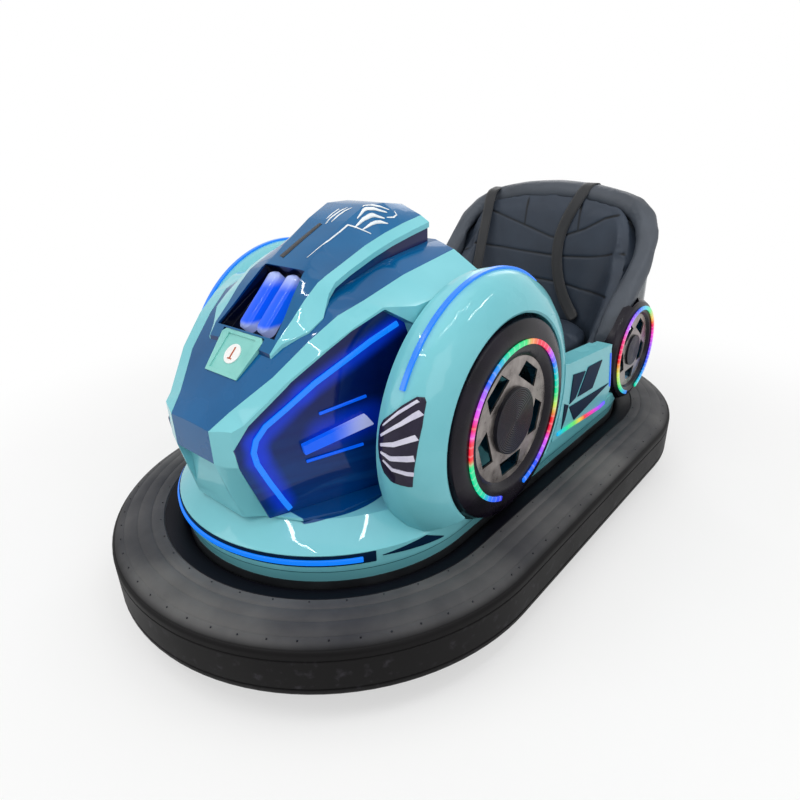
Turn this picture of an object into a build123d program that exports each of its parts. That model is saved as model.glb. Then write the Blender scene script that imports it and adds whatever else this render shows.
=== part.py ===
from build123d import *
import os
from math import cos, hypot, radians, sin

os.makedirs("parts", exist_ok=True)

# A fairground bumper car, in millimetres. Its front faces -Y, its left side is +X, and it stands on z = 0 with the
# origin under the middle of the bumper ring.

# Bumper ring, an air-filled tyre in the form of a stadium.
ring_length = 1950.0
ring_width = 1150.0
ring_section = 180.0
ring_bottom = 50.0
ring_crown = 208.0
tread_top = 184.0
tread_bottom = 76.0
end_y = (ring_length - ring_width) / 2
ring_inner = ring_width / 2 - ring_section

# Steel rim, frame and floor.
rim_wall = 6.0
rim_flange = 45.0
floor_top = 200.0
plate = 6.0
rail_width = 40.0
rail_height = 40.0
rail_x = 152.0
crossmember = 20.0
frame_top = floor_top - plate
rail_top = frame_top - crossmember
rail_bottom = rail_top - rail_height
tie_hole = 5.5
tie_hole_y = (-150.0, 550.0)

# Running clearances.
seat_gap = 0.3
running_fit = 0.05

# Skirt round the foot of the body.
skirt_wall = 12.0
skirt_inner = ring_inner - 143
ledge_z = 322.0
shoulder_z = 280.0
ledge_radius = ring_inner - 55
skirt_bulge = ring_inner + 7
skirt_led_z = 260.0
skirt_led_angle = 53.0
channel_angle = 57.0
channel_height = 26.0
skin = 2.5
led_width = 12.0
led_rise = 5.0

# Nose and hood.
nose_front = -end_y - 396
nose_top = 538.0
nose_chin = 465.0
chin_back = 28.0
prow_wall = 24.0
hood_rear = -end_y + 235
panel_thick = 6.0

# Fenders and the show wheels that stand in them.
fender_y = -end_y + 160
fender_z = 452.0
fender_radius = 335.0
fender_face_x = ring_inner + 29
fender_inner_x = fender_face_x - 132
wheel_open = 247.0
well_back_x = fender_face_x - 68
show_tyre = wheel_open - 3
show_face_x = fender_face_x + 12
show_rim = 152.0
show_led = 187.0
show_hub = 80.0
rear_y = end_y + 146
rear_z = 391.0
rear_tyre = 166.0
rear_led = 139.0
rear_rim = 118.0
rear_hub = 50.0
rear_face_x = fender_face_x - 8
rear_inner_x = fender_face_x - 60
wheel_gap = 3.0

# Seat.
tub_half = ring_inner - 13
tub_rear = end_y + 378
tub_front = end_y - 115
tub_corner = 140.0
tub_wall = 10.0
tub_full_z = 500.0
tub_top = 900.0
rim_width = 84.0
rim_height = 75.0
rim_inset = 20.0
cushion_top = 430.0
cushion_thick = 90.0
cushion_front = end_y - 235
cushion_rear = end_y + 235
cushion_half = ring_inner - 110
cushion_corner = 180.0
cushion_round = 20.0
base_wall = 8.0
base_half = cushion_rear - end_y
belt_width = 40.0
belt_thick = 3.0

# Running gear.
drive_y = -end_y - 70
drive_radius = 85.0
drive_width = 50.0
roller_radius = 75.0
roller_width = 45.0
roller_x = ring_inner - 125
roller_y = end_y + 20
shaft = 10.0

# Steering.
wheel_radius = 140.0
wheel_grip = 13.0
wheel_y = hood_rear + 130
wheel_z = 690.0
wheel_tilt = 40.0
steering_shaft = 12.0
column_radius = 20.0
column_start = 60.0
column_bore = 230.0


def round_the_ring(section):
    """Carry a section, drawn at x > 0 in the plane of the rear end's centre, right round the stadium."""
    extrude(section, amount=end_y)
    revolve(section, axis=Axis((0, end_y, 0), (0, 0, 1)), revolution_arc=90)
    mirror(about=Plane.YZ)
    mirror(about=Plane.XZ)


end_plane = Plane.XZ.offset(-end_y)

# Tyre of the ring: flat tread side, crowned top, inner wall against the rim.
with BuildPart() as ring_tyre:
    with BuildSketch(end_plane) as tyre_section:
        with BuildLine():
            outer = ring_width / 2
            Line((outer, tread_bottom + 8), (outer, tread_top - 8))
            Line((outer, tread_top - 8), (outer - 5, tread_top))
            ThreePointArc((outer - 5, tread_top), (outer - 78, ring_crown), (ring_inner + 18, tread_top + 4))
            Line((ring_inner + 18, tread_top + 4), (ring_inner, tread_top - 14))
            Line((ring_inner, tread_top - 14), (ring_inner, tread_bottom + 4))
            ThreePointArc((ring_inner, tread_bottom + 4), (ring_inner + 90, ring_bottom), (outer - 6, tread_bottom))
            Line((outer - 6, tread_bottom), (outer, tread_bottom + 8))
        make_face()
    round_the_ring(tyre_section.sketch)
ring_tyre.part.label = "ring_tyre"

# Rim: a web against the tyre and a flange that the body stands on.
with BuildPart() as bumper_rim:
    with BuildSketch(end_plane) as rim_section:
        with BuildLine():
            Polyline(
                (ring_inner, tread_bottom),
                (ring_inner, floor_top),
                (ring_inner - rim_flange, floor_top),
                (ring_inner - rim_flange, frame_top),
                (ring_inner - rim_wall, frame_top),
                (ring_inner - rim_wall, tread_bottom),
                close=True,
            )
        make_face()
    round_the_ring(rim_section.sketch)
bumper_rim.part.label = "bumper_rim"

# Floor: a flat plate inside the rim's flange.
with BuildPart() as floor_pan:
    with BuildSketch(Plane.XY.offset(frame_top)):
        SlotOverall(ring_length - 2 * ring_section - 2 * rim_flange, 2 * (ring_inner - rim_flange), rotation=90)
    extrude(amount=plate)
floor_pan.part.label = "floor_pan"

# Frame: two rails with crossmembers on them, and the plate between two crossmembers that carries the drive unit.
crossmembers = [-end_y - 240, -end_y + 130, 60.0, roller_y, end_y + 290]
mount_plate = 12.0
spigot_radius = 30.0
with BuildPart() as frame_rails:
    with BuildSketch(Plane.XY.offset(rail_bottom)):
        with Locations((-rail_x, 0), (rail_x, 0)):
            Rectangle(rail_width, ring_length)
        SlotOverall(ring_length - 2 * ring_section - 2 * rim_wall, 2 * (ring_inner - rim_wall), 90, mode=Mode.INTERSECT)
        with Locations([(side * rail_x, y) for side in (-1, 1) for y in tie_hole_y]):
            Circle(tie_hole, mode=Mode.SUBTRACT)
    extrude(amount=rail_height)
frame_rails.part.label = "frame_rails"

with BuildPart() as frame_crossmembers:
    with BuildSketch(Plane.XY.offset(rail_top)):
        with Locations([(0, y) for y in crossmembers]):
            Rectangle(ring_width, rail_width)
        SlotOverall(ring_length - 2 * ring_section - 2 * rim_wall, 2 * (ring_inner - rim_wall), 90, mode=Mode.INTERSECT)
    extrude(amount=crossmember)
frame_crossmembers.part.label = "frame_crossmembers"

with BuildPart() as drive_plate:
    with BuildSketch(Plane.XY.offset(frame_top - mount_plate)):
        with Locations((0, (crossmembers[0] + crossmembers[1]) / 2)):
            Rectangle(2 * rail_x, crossmembers[1] - crossmembers[0] - rail_width)
        with Locations((0, drive_y)):
            Circle(spigot_radius + running_fit, mode=Mode.SUBTRACT)
    extrude(amount=mount_plate)
drive_plate.part.label = "drive_plate"

# Rear axle: a shaft in two hangers under a crossmember.
hanger_x = roller_x - 65
hanger_wall = 10.0
hanger_top = 45.0
hanger_foot = 20.0
with BuildPart() as rear_axle:
    with BuildSketch(Plane.YZ):
        with Locations((roller_y, roller_radius)):
            Circle(shaft)
    extrude(amount=roller_x + roller_width / 2 + shaft, both=True)
rear_axle.part.label = "rear_axle"

with BuildPart() as axle_hangers:
    for side in (-1, 1):
        with BuildSketch(Plane.YZ.offset(side * hanger_x)):
            with BuildLine():
                Polyline(
                    (roller_y - hanger_top, rail_top),
                    (roller_y + hanger_top, rail_top),
                    (roller_y + hanger_foot, roller_radius - hanger_foot),
                    (roller_y - hanger_foot, roller_radius - hanger_foot),
                    close=True,
                )
            make_face()
            with Locations((roller_y, roller_radius)):
                Circle(shaft, mode=Mode.SUBTRACT)
        extrude(amount=hanger_wall / 2, both=True)
axle_hangers.part.label = "axle_hangers"

# Two batteries stand on the floor under the seat, as one plain block.
battery_size = (340.0, 260.0, 120.0)
battery_y = end_y + 40
with BuildPart() as battery_box:
    with BuildSketch(Plane.XY.offset(floor_top)):
        with Locations((0, battery_y)):
            Rectangle(battery_size[0], battery_size[1])
    extrude(amount=battery_size[2])
battery_box.part.label = "battery_box"

# Rear rollers.
sides = ((1, "left"), (-1, "right"))
hub_radius = 41.0
rollers = []
for side, name in sides:
    with BuildPart() as roller_tyre:
        with BuildSketch(Plane.YZ.offset(side * roller_x)):
            with Locations((roller_y, roller_radius)):
                Circle(roller_radius)
                Circle(hub_radius, mode=Mode.SUBTRACT)
        extrude(amount=roller_width / 2, both=True)
        fillet(roller_tyre.edges().filter_by(GeomType.CIRCLE).group_by(SortBy.RADIUS)[-1], 6)
    roller_tyre.part.label = f"rear_roller_tyre_{name}"
    with BuildPart() as roller_hub:
        with BuildSketch(Plane.YZ.offset(side * roller_x)):
            with Locations((roller_y, roller_radius)):
                Circle(hub_radius)
                Circle(shaft + running_fit, mode=Mode.SUBTRACT)
        extrude(amount=roller_width / 2, both=True)
    roller_hub.part.label = f"rear_roller_hub_{name}"
    rollers += [roller_tyre, roller_hub]

# Drive unit: a turntable with two fork legs, and the motor on one of them.
turntable_z = drive_radius * 2 + 5
turntable = 100.0
leg_x = drive_width / 2 + 6
leg = 8.0
leg_half_width = 26.0
with BuildPart() as drive_fork:
    with BuildSketch(Plane.XY.offset(turntable_z)):
        with Locations((0, drive_y)):
            Circle(turntable)
    extrude(amount=frame_top - mount_plate - seat_gap - turntable_z)
    with BuildSketch(Plane.XY.offset(turntable_z)):
        with Locations((0, drive_y)):
            Circle(spigot_radius)
    extrude(amount=frame_top - 1 - turntable_z)
    for side in (-1, 1):
        inner = side * leg_x
        with BuildSketch(Plane.YZ.offset(inner)):
            with Locations((drive_y, drive_radius)):
                Circle(leg_half_width)
            with Locations((drive_y, (drive_radius + turntable_z) / 2)):
                Rectangle(2 * leg_half_width, turntable_z - drive_radius)
        extrude(amount=side * leg)
    with BuildSketch(Plane.YZ):
        with Locations((drive_y, drive_radius)):
            Circle(shaft)
    extrude(amount=leg_x, both=True)
drive_fork.part.label = "drive_fork"

motor_length = 74.0
motor_radius = 44.0
with BuildPart() as drive_motor:
    with BuildSketch(Plane.YZ.offset(leg_x + leg)):
        with Locations((drive_y, drive_radius)):
            Circle(motor_radius)
    extrude(amount=motor_length)
    fillet(drive_motor.faces().sort_by(Axis.X)[-1].edges(), 8)
drive_motor.part.label = "drive_motor"

drive_hub_radius = 50.0
with BuildPart() as drive_hub:
    with BuildSketch(Plane.YZ):
        with Locations((drive_y, drive_radius)):
            Circle(drive_hub_radius)
            Circle(shaft + running_fit, mode=Mode.SUBTRACT)
    extrude(amount=drive_width / 2, both=True)
drive_hub.part.label = "drive_hub"

with BuildPart() as drive_tyre:
    with BuildSketch(Plane.YZ):
        with Locations((drive_y, drive_radius)):
            Circle(drive_radius)
            Circle(drive_hub_radius, mode=Mode.SUBTRACT)
    extrude(amount=drive_width / 2, both=True)
    fillet(drive_tyre.edges().filter_by(GeomType.CIRCLE).group_by(SortBy.RADIUS)[-1], 7)
drive_tyre.part.label = "drive_tyre"

# Prow: the body blank ahead of the driver. Its plan outline at the foot and above the chin is lofted upright, and
# its top follows sections across the car.
body_low = ledge_z
chin_z = nose_chin - chin_back
prow_plans = [
    # height, then plan points from the nose back to the dash
    (body_low, [(0, -766), (84, -759), (117, -728), (196, -689), (240, -618), (256, -543), (266, -477)]),
    (nose_chin, [(0, -796), (69, -796), (120, -777), (180, -681), (216, -606), (238, -543), (254, -477)]),
    (900.0, [(0, -796), (69, -796), (120, -777), (180, -681), (216, -606), (238, -543), (254, -477)]),
]
hood_rows = [
    # y, top half-width, top z, crease half-width, crease z, shoulder edge x, shoulder edge z
    (-800.0, 20.0, 537.0, 66.0, 535.0, 118.0, 530.0),
    (-756.0, 35.0, 572.0, 88.0, 570.0, 130.0, 556.0),
    (-681.0, 60.0, 635.0, 142.0, 634.0, 180.0, 630.0),
    (-606.0, 100.0, 699.0, 170.0, 693.0, 216.0, 684.0),
    (-543.0, 130.0, 746.0, 190.0, 733.0, 238.0, 719.0),
    (-477.0, 142.0, 770.0, 200.0, 751.0, 254.0, 745.0),
    (-350.0, 146.0, 802.0, 200.0, 780.0, 292.0, 744.0),
    (hood_rear, 146.0, 824.0, 200.0, 806.0, 292.0, 752.0),
]
crease_plan = [(row[3], row[0]) for row in hood_rows]


def across(y, half):
    """A closed section across the car at y, from its right-hand points and their mirror images."""
    with BuildSketch(Plane.XZ.offset(-y)) as section:
        with BuildLine():
            Polyline(*half, *[(-x, z) for x, z in reversed(half)], close=True)
        make_face()
    return section.sketch


def side_profile(points, x=0.0):
    """A closed outline in the car's long plane or at x beside it, as (y, z) points."""
    with BuildSketch(Plane.YZ.offset(x)) as section:
        with BuildLine():
            Polyline(*points, close=True)
        make_face()
    return section.sketch


def ribbon(points, *widths):
    """Outline of a strip along a bent line of points, with one width or a width for each point."""
    ahead = points[1:] + points[-1:]
    behind = points[:1] + points[:-1]
    near = []
    far = []
    if len(widths) == 1:
        widths = widths * len(points)
    for (u, v), (u0, v0), (u1, v1), width in zip(points, behind, ahead, widths):
        half = width / 2 / hypot(u1 - u0, v1 - v0)
        near.append((u - (v1 - v0) * half, v + (u1 - u0) * half))
        far.append((u + (v1 - v0) * half, v - (u1 - u0) * half))
    return near + far[::-1]


with BuildPart() as prow:
    for z, points in prow_plans:
        rear = [(fender_inner_x, -420.0), (fender_inner_x, hood_rear)]
        half = points[1:] + rear
        with BuildSketch(Plane.XY.offset(z)):
            with BuildLine():
                Polyline(*half, *[(-x, y) for x, y in reversed(half)], close=True)
            make_face()
    loft(ruled=True)
    deck = [
        across(y, [(top_x, top_z), (crease_x, crease_z), (edge_x, edge_z), (edge_x + 60, edge_z - 10), (350, 300)])
        for y, top_x, top_z, crease_x, crease_z, edge_x, edge_z in hood_rows
    ]
    loft(sections=deck, ruled=True, mode=Mode.INTERSECT)

# Room for the legs and the dash, cut from the prow.
leg_half = skirt_inner - 7
firewall_y = -end_y - 20
dash_y = -end_y + 138
toe_z = 470.0
dash_low = 575.0
cowl_under = 742.0
with BuildPart() as leg_room:
    with BuildSketch(Plane.YZ):
        with BuildLine():
            Polyline(
                (hood_rear + 5, floor_top),
                (firewall_y, floor_top),
                (firewall_y, toe_z),
                (dash_y - 80, dash_low),
                (dash_y, dash_low),
                (dash_y, cowl_under),
                (hood_rear + 5, cowl_under + 8),
                close=True,
            )
        make_face()
    extrude(amount=leg_half, both=True)
    chamfer(leg_room.edges().filter_by(Axis.Y, tolerance=10).group_by(Axis.Z)[-1], 40)

# Recess in each side of the prow that holds the navy panel, as an outline seen from the side.
panel_outline = [
    (-731, body_low + 6),
    (-752, 396),
    (-774, 464),
    (-778, 504),
    (-749, 552),
    (-672, 630),
    (-605, 679),
    (-549, 712),
    (-474, 740),
    (-418, 700),
    (-400, 640),
    (-400, body_low + 6),
]
recess_line = [(112, -790), (258, -400)]
with BuildPart() as panel_recess:
    extrude(side_profile(panel_outline), amount=400, dir=(1, 0, 0))
    with BuildSketch(Plane.XY.offset(body_low)):
        with BuildLine():
            Polyline(*recess_line, (400, -400), (400, -790), close=True)
        make_face()
    extrude(amount=500, mode=Mode.INTERSECT)
    mirror(about=Plane.YZ)

# Recess for the intake, cut square to the slope of the hood and the canopy.
intake_half = (98.0, 66.0)
intake_depth = 30.0
intake_line = [(-632.0, 686.0), (-512.0, 800.0)]
(low_y, low_z), (high_y, high_z) = intake_line
intake_long = hypot(high_y - low_y, high_z - low_z)
intake_plane = Plane(origin=(0, low_y, low_z), x_dir=(1, 0, 0), z_dir=(0, low_z - high_z, high_y - low_y))
with BuildPart() as intake_recess:
    with BuildSketch(intake_plane.offset(-intake_depth)):
        with BuildLine():
            Polyline(
                (-intake_half[0], 0),
                (intake_half[0], 0),
                (intake_half[1], intake_long),
                (-intake_half[1], intake_long),
                close=True,
            )
        make_face()
    extrude(amount=4 * intake_depth)

# Hood: the petrol-blue middle of the prow, down to the chin at the front.
with BuildPart() as nose_hood:
    add(prow.part)
    with BuildSketch(Plane.XY.offset(body_low)):
        with BuildLine():
            Polyline(*crease_plan, *[(-x, y) for x, y in reversed(crease_plan)], close=True)
        make_face()
    extrude(amount=600, mode=Mode.INTERSECT)
    chin_y = nose_front + chin_back
    under_chin = side_profile(
        [
            (-810, body_low),
            (-810, nose_chin),
            (nose_front, nose_chin),
            (chin_y, chin_z),
            (chin_y + prow_wall, chin_z),
            (chin_y + prow_wall, body_low),
        ]
    )
    extrude(under_chin, amount=300, both=True, mode=Mode.SUBTRACT)
    add(leg_room.part, mode=Mode.SUBTRACT)
    add(intake_recess.part, mode=Mode.SUBTRACT)
nose_hood.part.label = "nose_hood"

# Firewall: a plate that closes the footwell's front below the prow.
with BuildPart() as firewall:
    with BuildSketch(Plane.XY.offset(floor_top)):
        with Locations((0, firewall_y - skirt_wall / 2)):
            Rectangle(2 * leg_half, skirt_wall)
    extrude(amount=ledge_z - floor_top)
firewall.part.label = "firewall"

# Teal shoulders, with the wall under the chin that joins them.
with BuildPart() as nose_stripe:
    add(prow.part)
    add(nose_hood.part, mode=Mode.SUBTRACT)
    for recess in (panel_recess, leg_room, intake_recess):
        add(recess.part, mode=Mode.SUBTRACT)
    chin_hollow = side_profile(
        [(-810, nose_chin), (nose_front, nose_chin), (chin_y, chin_z), (chin_y, body_low), (-810, body_low)]
    )
    extrude(chin_hollow, amount=69, both=True, mode=Mode.SUBTRACT)
nose_stripe.part.label = "nose_stripe"

# Navy panels: a skin on the floor of each recess, with a lit chevron, a blade and two ridges on it.
(near_x, near_y), (far_x, far_y) = recess_line
panel_floor = Plane(
    origin=(near_x, near_y, 0), x_dir=(far_x - near_x, far_y - near_y, 0), z_dir=(far_y - near_y, near_x - far_x, 0)
)
panel_reach = 500.0
chevron = [
    # along the panel from its front corner, height
    (382, 702),
    (319, 675),
    (254, 642),
    (190, 610),
    (127, 570),
    (80, 542),
    (58, 517),
    (50, 492),
    (54, 464),
    (74, 415),
    (98, 362),
    (110, 338),
]
blade = [(148, 483), (295, 516), (312, 491), (152, 461)]
upper_ridge = [(193, 541), (302, 556)]
lower_ridge = [(156, 440), (289, 444)]
ridge_width = 7.0
blade_rise = 14.0
with BuildPart() as side_panels:
    with BuildSketch(panel_floor):
        with Locations((panel_reach / 2, panel_reach)):
            Rectangle(panel_reach, panel_reach)
    extrude(amount=panel_thick)
    mirror(about=Plane.YZ)
    add(panel_recess.part, mode=Mode.INTERSECT)
side_panels.part.label = "side_panels"


def on_panel(outline, rise):
    """A raised shape of the given height on the panel, from (along, z) points."""
    with BuildPart() as shape:
        with BuildSketch(panel_floor.offset(panel_thick)):
            with BuildLine():
                Polyline(*outline, close=True)
            make_face()
        extrude(amount=rise)
        mirror(about=Plane.YZ)
        add(panel_recess.part, mode=Mode.INTERSECT)
    return shape.part


with BuildPart() as panel_led:
    add(on_panel(ribbon(chevron, led_width), led_rise))
panel_led.part.label = "panel_led"
with BuildPart() as panel_blades:
    add(on_panel(blade, blade_rise))
    add(on_panel(ribbon(upper_ridge, ridge_width), led_rise))
    add(on_panel(ribbon(lower_ridge, ridge_width), led_rise))
panel_blades.part.label = "panel_blades"

# Number plate below the intake: a bordered shield with a plain disc.
plate_y = (-633.0, -705.0)
plate_z = (681.0, 610.0)
plate_half = (61.0, 55.0)
plate_rise = 7.0
plate_root = 4.0
plate_border = 9.0
tray = 3.0
disc_radius = 23.0
disc_thick = 2.0
slope_plane = Plane(
    origin=(0, (plate_y[0] + plate_y[1]) / 2, (plate_z[0] + plate_z[1]) / 2),
    x_dir=(1, 0, 0),
    z_dir=(0, plate_z[1] - plate_z[0], plate_y[0] - plate_y[1]),
)
plate_long = hypot(plate_y[0] - plate_y[1], plate_z[0] - plate_z[1])
with BuildPart() as number_plate:
    with BuildSketch(slope_plane.offset(-plate_root)):
        with BuildLine():
            Polyline(
                (-plate_half[0], plate_long / 2),
                (plate_half[0], plate_long / 2),
                (plate_half[0] + plate_border, plate_long / 2 - plate_border),
                (plate_half[1], -plate_long / 2),
                (-plate_half[1], -plate_long / 2),
                (-plate_half[0] - plate_border, plate_long / 2 - plate_border),
                close=True,
            )
        make_face()
    extrude(amount=plate_rise + plate_root)
    with BuildSketch(slope_plane.offset(plate_rise)):
        Rectangle(2 * (plate_half[1] - plate_border), plate_long - 2 * plate_border)
    extrude(amount=-tray, mode=Mode.SUBTRACT)
    add(nose_hood.part, mode=Mode.SUBTRACT)
number_plate.part.label = "number_plate"

with BuildPart() as number_disc:
    with BuildSketch(slope_plane.offset(plate_rise - tray)):
        Circle(disc_radius)
    extrude(amount=disc_thick)
number_disc.part.label = "number_disc"

# Canopy: the raised spine on the hood, with the intake cut in its front and a teal fin along each top edge.
canopy_rows = [
    # y, crown half-width, crown z, edge half-width, edge z, fin half-width, fin z
    (-655.0, 40.0, 670.0, 104.0, 665.0, 108.0, 662.0),
    (-633.0, 42.0, 693.0, 108.0, 690.0, 119.0, 683.0),
    (-594.0, 46.0, 730.0, 110.0, 723.0, 158.0, 707.0),
    (-560.0, 50.0, 764.0, 112.0, 755.0, 166.0, 728.0),
    (-522.0, 54.0, 798.0, 114.0, 784.0, 146.0, 766.0),
    (-500.0, 56.0, 812.0, 115.0, 794.0, 143.0, 784.0),
    (-455.0, 58.0, 840.0, 118.0, 812.0, 143.0, 802.0),
    (-380.0, 60.0, 884.0, 118.0, 839.0, 143.0, 826.0),
    (-318.0, 60.0, 912.0, 118.0, 856.0, 143.0, 842.0),
    (-251.0, 60.0, 911.0, 118.0, 870.0, 143.0, 855.0),
    (-186.0, 60.0, 902.0, 118.0, 880.0, 143.0, 866.0),
]
fin_drop = 12.0
fin_root = 14.0
flank_inset = 5.0
flank_drop = 6.0
canopy_root = 600.0


def one_side(y, points):
    """A closed section at y on the car's left."""
    with BuildSketch(Plane.XZ.offset(-y)) as section:
        with BuildLine():
            Polyline(*points, close=True)
        make_face()
    return section.sketch


with BuildPart() as canopy_fins:
    rows = [
        one_side(
            y, [(edge_x, edge_z), (fin_x, fin_z), (fin_x, fin_z - fin_drop), (edge_x, edge_z - fin_drop - fin_root)]
        )
        for y, crown_x, crown_z, edge_x, edge_z, fin_x, fin_z in canopy_rows
    ]
    loft(sections=rows, ruled=True)
    mirror(about=Plane.YZ)
    add(nose_hood.part, mode=Mode.SUBTRACT)
canopy_fins.part.label = "canopy_fins"

with BuildPart() as canopy:
    rows = [
        across(
            y,
            [
                (crown_x, crown_z),
                (edge_x, edge_z),
                (fin_x - flank_inset, fin_z - flank_drop),
                (fin_x - flank_inset, canopy_root),
            ],
        )
        for y, crown_x, crown_z, edge_x, edge_z, fin_x, fin_z in canopy_rows
    ]
    loft(sections=rows, ruled=True)
    with BuildSketch(slope_plane.offset(-plate_root)):
        with Locations((0, -plate_border)):
            Rectangle(2 * plate_half[0] + 2 * plate_border, plate_long + 2 * plate_border)
    extrude(amount=4 * intake_depth, mode=Mode.SUBTRACT)
    for neighbour in (nose_hood, nose_stripe, leg_room, canopy_fins, intake_recess):
        add(neighbour.part, mode=Mode.SUBTRACT)
canopy.part.label = "canopy"

# Two lit bars in the intake, each a rounded rod on the recess's floor.
bar_x = 30.0
bar_width = 38.0
bar_ends = (10.0, 158.0)
with BuildPart() as intake_bars:
    with BuildSketch(intake_plane.offset(-intake_depth)):
        with Locations([(side * bar_x, (bar_ends[0] + bar_ends[1]) / 2) for side in (-1, 1)]):
            RectangleRounded(bar_width, bar_ends[1] - bar_ends[0], bar_width * 0.4)
    extrude(amount=intake_depth - skin)
    chamfer(intake_bars.faces().group_by(Axis((0, 0, 0), intake_plane.z_dir))[-1].edges(), skin * 3)
intake_bars.part.label = "intake_bars"

# Skirt: a wall that stands on the rim's flange all round, with a ledge on top, cut away for the show tyres.
shoulder_radius = skirt_bulge - 6
skirt_foot = ring_inner - 2
skirt_outline = [
    # distance from the long plane or from an end's centre, z
    (skirt_foot, floor_top),
    (skirt_bulge - 3, floor_top + 28),
    (skirt_bulge, skirt_led_z - 20),
    (skirt_bulge, skirt_led_z + 14),
    (shoulder_radius, shoulder_z),
    (ledge_radius, ledge_z),
]
skirt_lining = [
    (skirt_foot - skirt_wall, floor_top),
    (skirt_foot - skirt_wall, floor_top + 10),
    (skirt_bulge - skirt_wall, skirt_led_z),
    (shoulder_radius - skirt_wall, shoulder_z - skirt_wall / 2),
    (ledge_radius - 4, ledge_z - skirt_wall),
]


def stadiums(rows):
    """Stadium outlines stacked upward, from (radius, z) rows."""
    outlines = []
    for radius, z in rows:
        with BuildSketch(Plane.XY.offset(z)) as outline:
            SlotOverall(2 * (end_y + radius), 2 * radius, 90)
        outlines.append(outline.sketch)
    return outlines


with BuildPart() as skirt_blank:
    loft(sections=stadiums(skirt_outline), ruled=True)
with BuildPart() as skirt:
    add(skirt_blank.part)
    loft(sections=stadiums(skirt_lining), ruled=True, mode=Mode.SUBTRACT)
    extrude(stadiums([(skirt_inner, ledge_z - skirt_wall)])[0], amount=skirt_wall, mode=Mode.SUBTRACT)
    for side in (-1, 1):
        with BuildSketch(Plane.YZ.offset(side * well_back_x)):
            with Locations((fender_y, fender_z)):
                Circle(wheel_open + wheel_gap)
        extrude(amount=side * fender_radius, mode=Mode.SUBTRACT)
skirt.part.label = "skirt"

# Wall round the footwell and the seat base, under the ledge.
with BuildPart() as footwell_wall:
    extrude(stadiums([(skirt_inner + skirt_wall, floor_top)])[0], amount=ledge_z - skirt_wall - floor_top)
    extrude(stadiums([(skirt_inner, floor_top)])[0], amount=ledge_z - skirt_wall - floor_top, mode=Mode.SUBTRACT)
footwell_wall.part.label = "footwell_wall"

# Fenders: drums turned about the show wheels' axis, with a well for the tyre and a full-width roll on the crest.
def turned(profile, x_side, y, z, start=90.0):
    """An (x, radius) outline beside an axis along X through (y, z), at an angle measured from +Y."""
    x_dir = (x_side, 0, 0)
    z_dir = (0, -x_side * sin(radians(start)), x_side * cos(radians(start)))
    with BuildSketch(Plane(origin=(0, y, z), x_dir=x_dir, z_dir=z_dir)) as section:
        with BuildLine():
            Polyline(*profile, close=True)
        make_face()
    return section.sketch


def wheel_axis(y, z):
    return Axis((0, y, z), (1, 0, 0))


body_cut = 900.0
crest = [
    # x, radius
    (fender_inner_x + 10, fender_radius - 6),
    (fender_inner_x + 34, fender_radius),
    (fender_inner_x + 62, fender_radius),
    (fender_inner_x + 90, fender_radius - 12),
    (fender_inner_x + 114, fender_radius - 38),
]
lip = 3.0
lip_radius = wheel_open + 20
fender_profile = [
    (fender_inner_x, 0),
    (fender_inner_x, fender_radius - 22),
    *crest,
    (fender_face_x - lip, lip_radius),
    (fender_face_x, wheel_open + 2 * lip),
    (fender_face_x - lip, wheel_open),
    (well_back_x, wheel_open),
    (well_back_x, 0),
]
fenders = []
for side, name in sides:
    with BuildPart() as fender:
        revolve(turned(fender_profile, side, fender_y, fender_z), axis=wheel_axis(fender_y, fender_z))
        with BuildSketch(Plane.XY.offset(shoulder_z)):
            Rectangle(2 * ring_width, 2 * ring_length)
        extrude(amount=body_cut, mode=Mode.INTERSECT)
        add(skirt_blank.part, mode=Mode.SUBTRACT)
    fender.part.label = f"fender_{name}"
    fenders.append(fender)

# Black fan with pale slats on the front of each fender, following the crest.
grille_angle = 168.0
grille_span = (145.0, 195.0)
grille_outline = [
    # x, distance up the crest from the fan's middle
    (394, 78),
    (390, 87),
    (380, 87),
    (361, 69),
    (341, 47),
    (320, 27),
    (312, 12),
    (311, -10),
    (312, -32),
    (316, -55),
    (330, -84),
    (346, -97),
    (367, -101),
    (387, -101),
    (393, -32),
    (396, 30),
]
slats = [
    # inner end, middle and outer end, each as x and distance up the crest, with the width there
    ((323, 17, 3), (357, 53, 6), (384, 80, 6)),
    ((320, -5, 5), (362, 29, 8), (392, 58, 12)),
    ((321, -24, 6), (356, -13, 10), (392, 8, 12)),
    ((323, -39, 4), (348, -45, 10), (391, -36, 13)),
    ((330, -55, 3), (354, -68, 7), (391, -71, 9)),
]
grille_plane = Plane(
    origin=(0, fender_y, fender_z),
    x_dir=(1, 0, 0),
    z_dir=(0, cos(radians(grille_angle)), sin(radians(grille_angle))),
)


def crest_skin(low, high, outlines):
    """A layer between two heights over the crest's front, cut to outlines seen along the fan's middle."""
    inner = [(x, radius + low) for x, radius in crest]
    outer = [(x, radius + high) for x, radius in crest]
    span = grille_span[1] - grille_span[0]
    with BuildPart() as layer:
        revolve(
            turned(inner + outer[::-1], 1, fender_y, fender_z, grille_span[0]),
            axis=wheel_axis(fender_y, fender_z),
            revolution_arc=span,
        )
        with BuildSketch(grille_plane):
            for outline in outlines:
                with BuildLine():
                    Polyline(*outline, close=True)
                make_face()
        extrude(amount=2 * fender_radius, mode=Mode.INTERSECT)
        mirror(about=Plane.YZ)
    return layer.part


with BuildPart() as fender_grilles:
    add(crest_skin(0, skin, [grille_outline]))
fender_grilles.part.label = "fender_grilles"
with BuildPart() as grille_slats:
    slat_outlines = [ribbon([(x, up) for x, up, width in slat], *[width for x, up, width in slat]) for slat in slats]
    add(crest_skin(skin, 2 * skin, slat_outlines))
grille_slats.part.label = "grille_slats"

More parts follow.
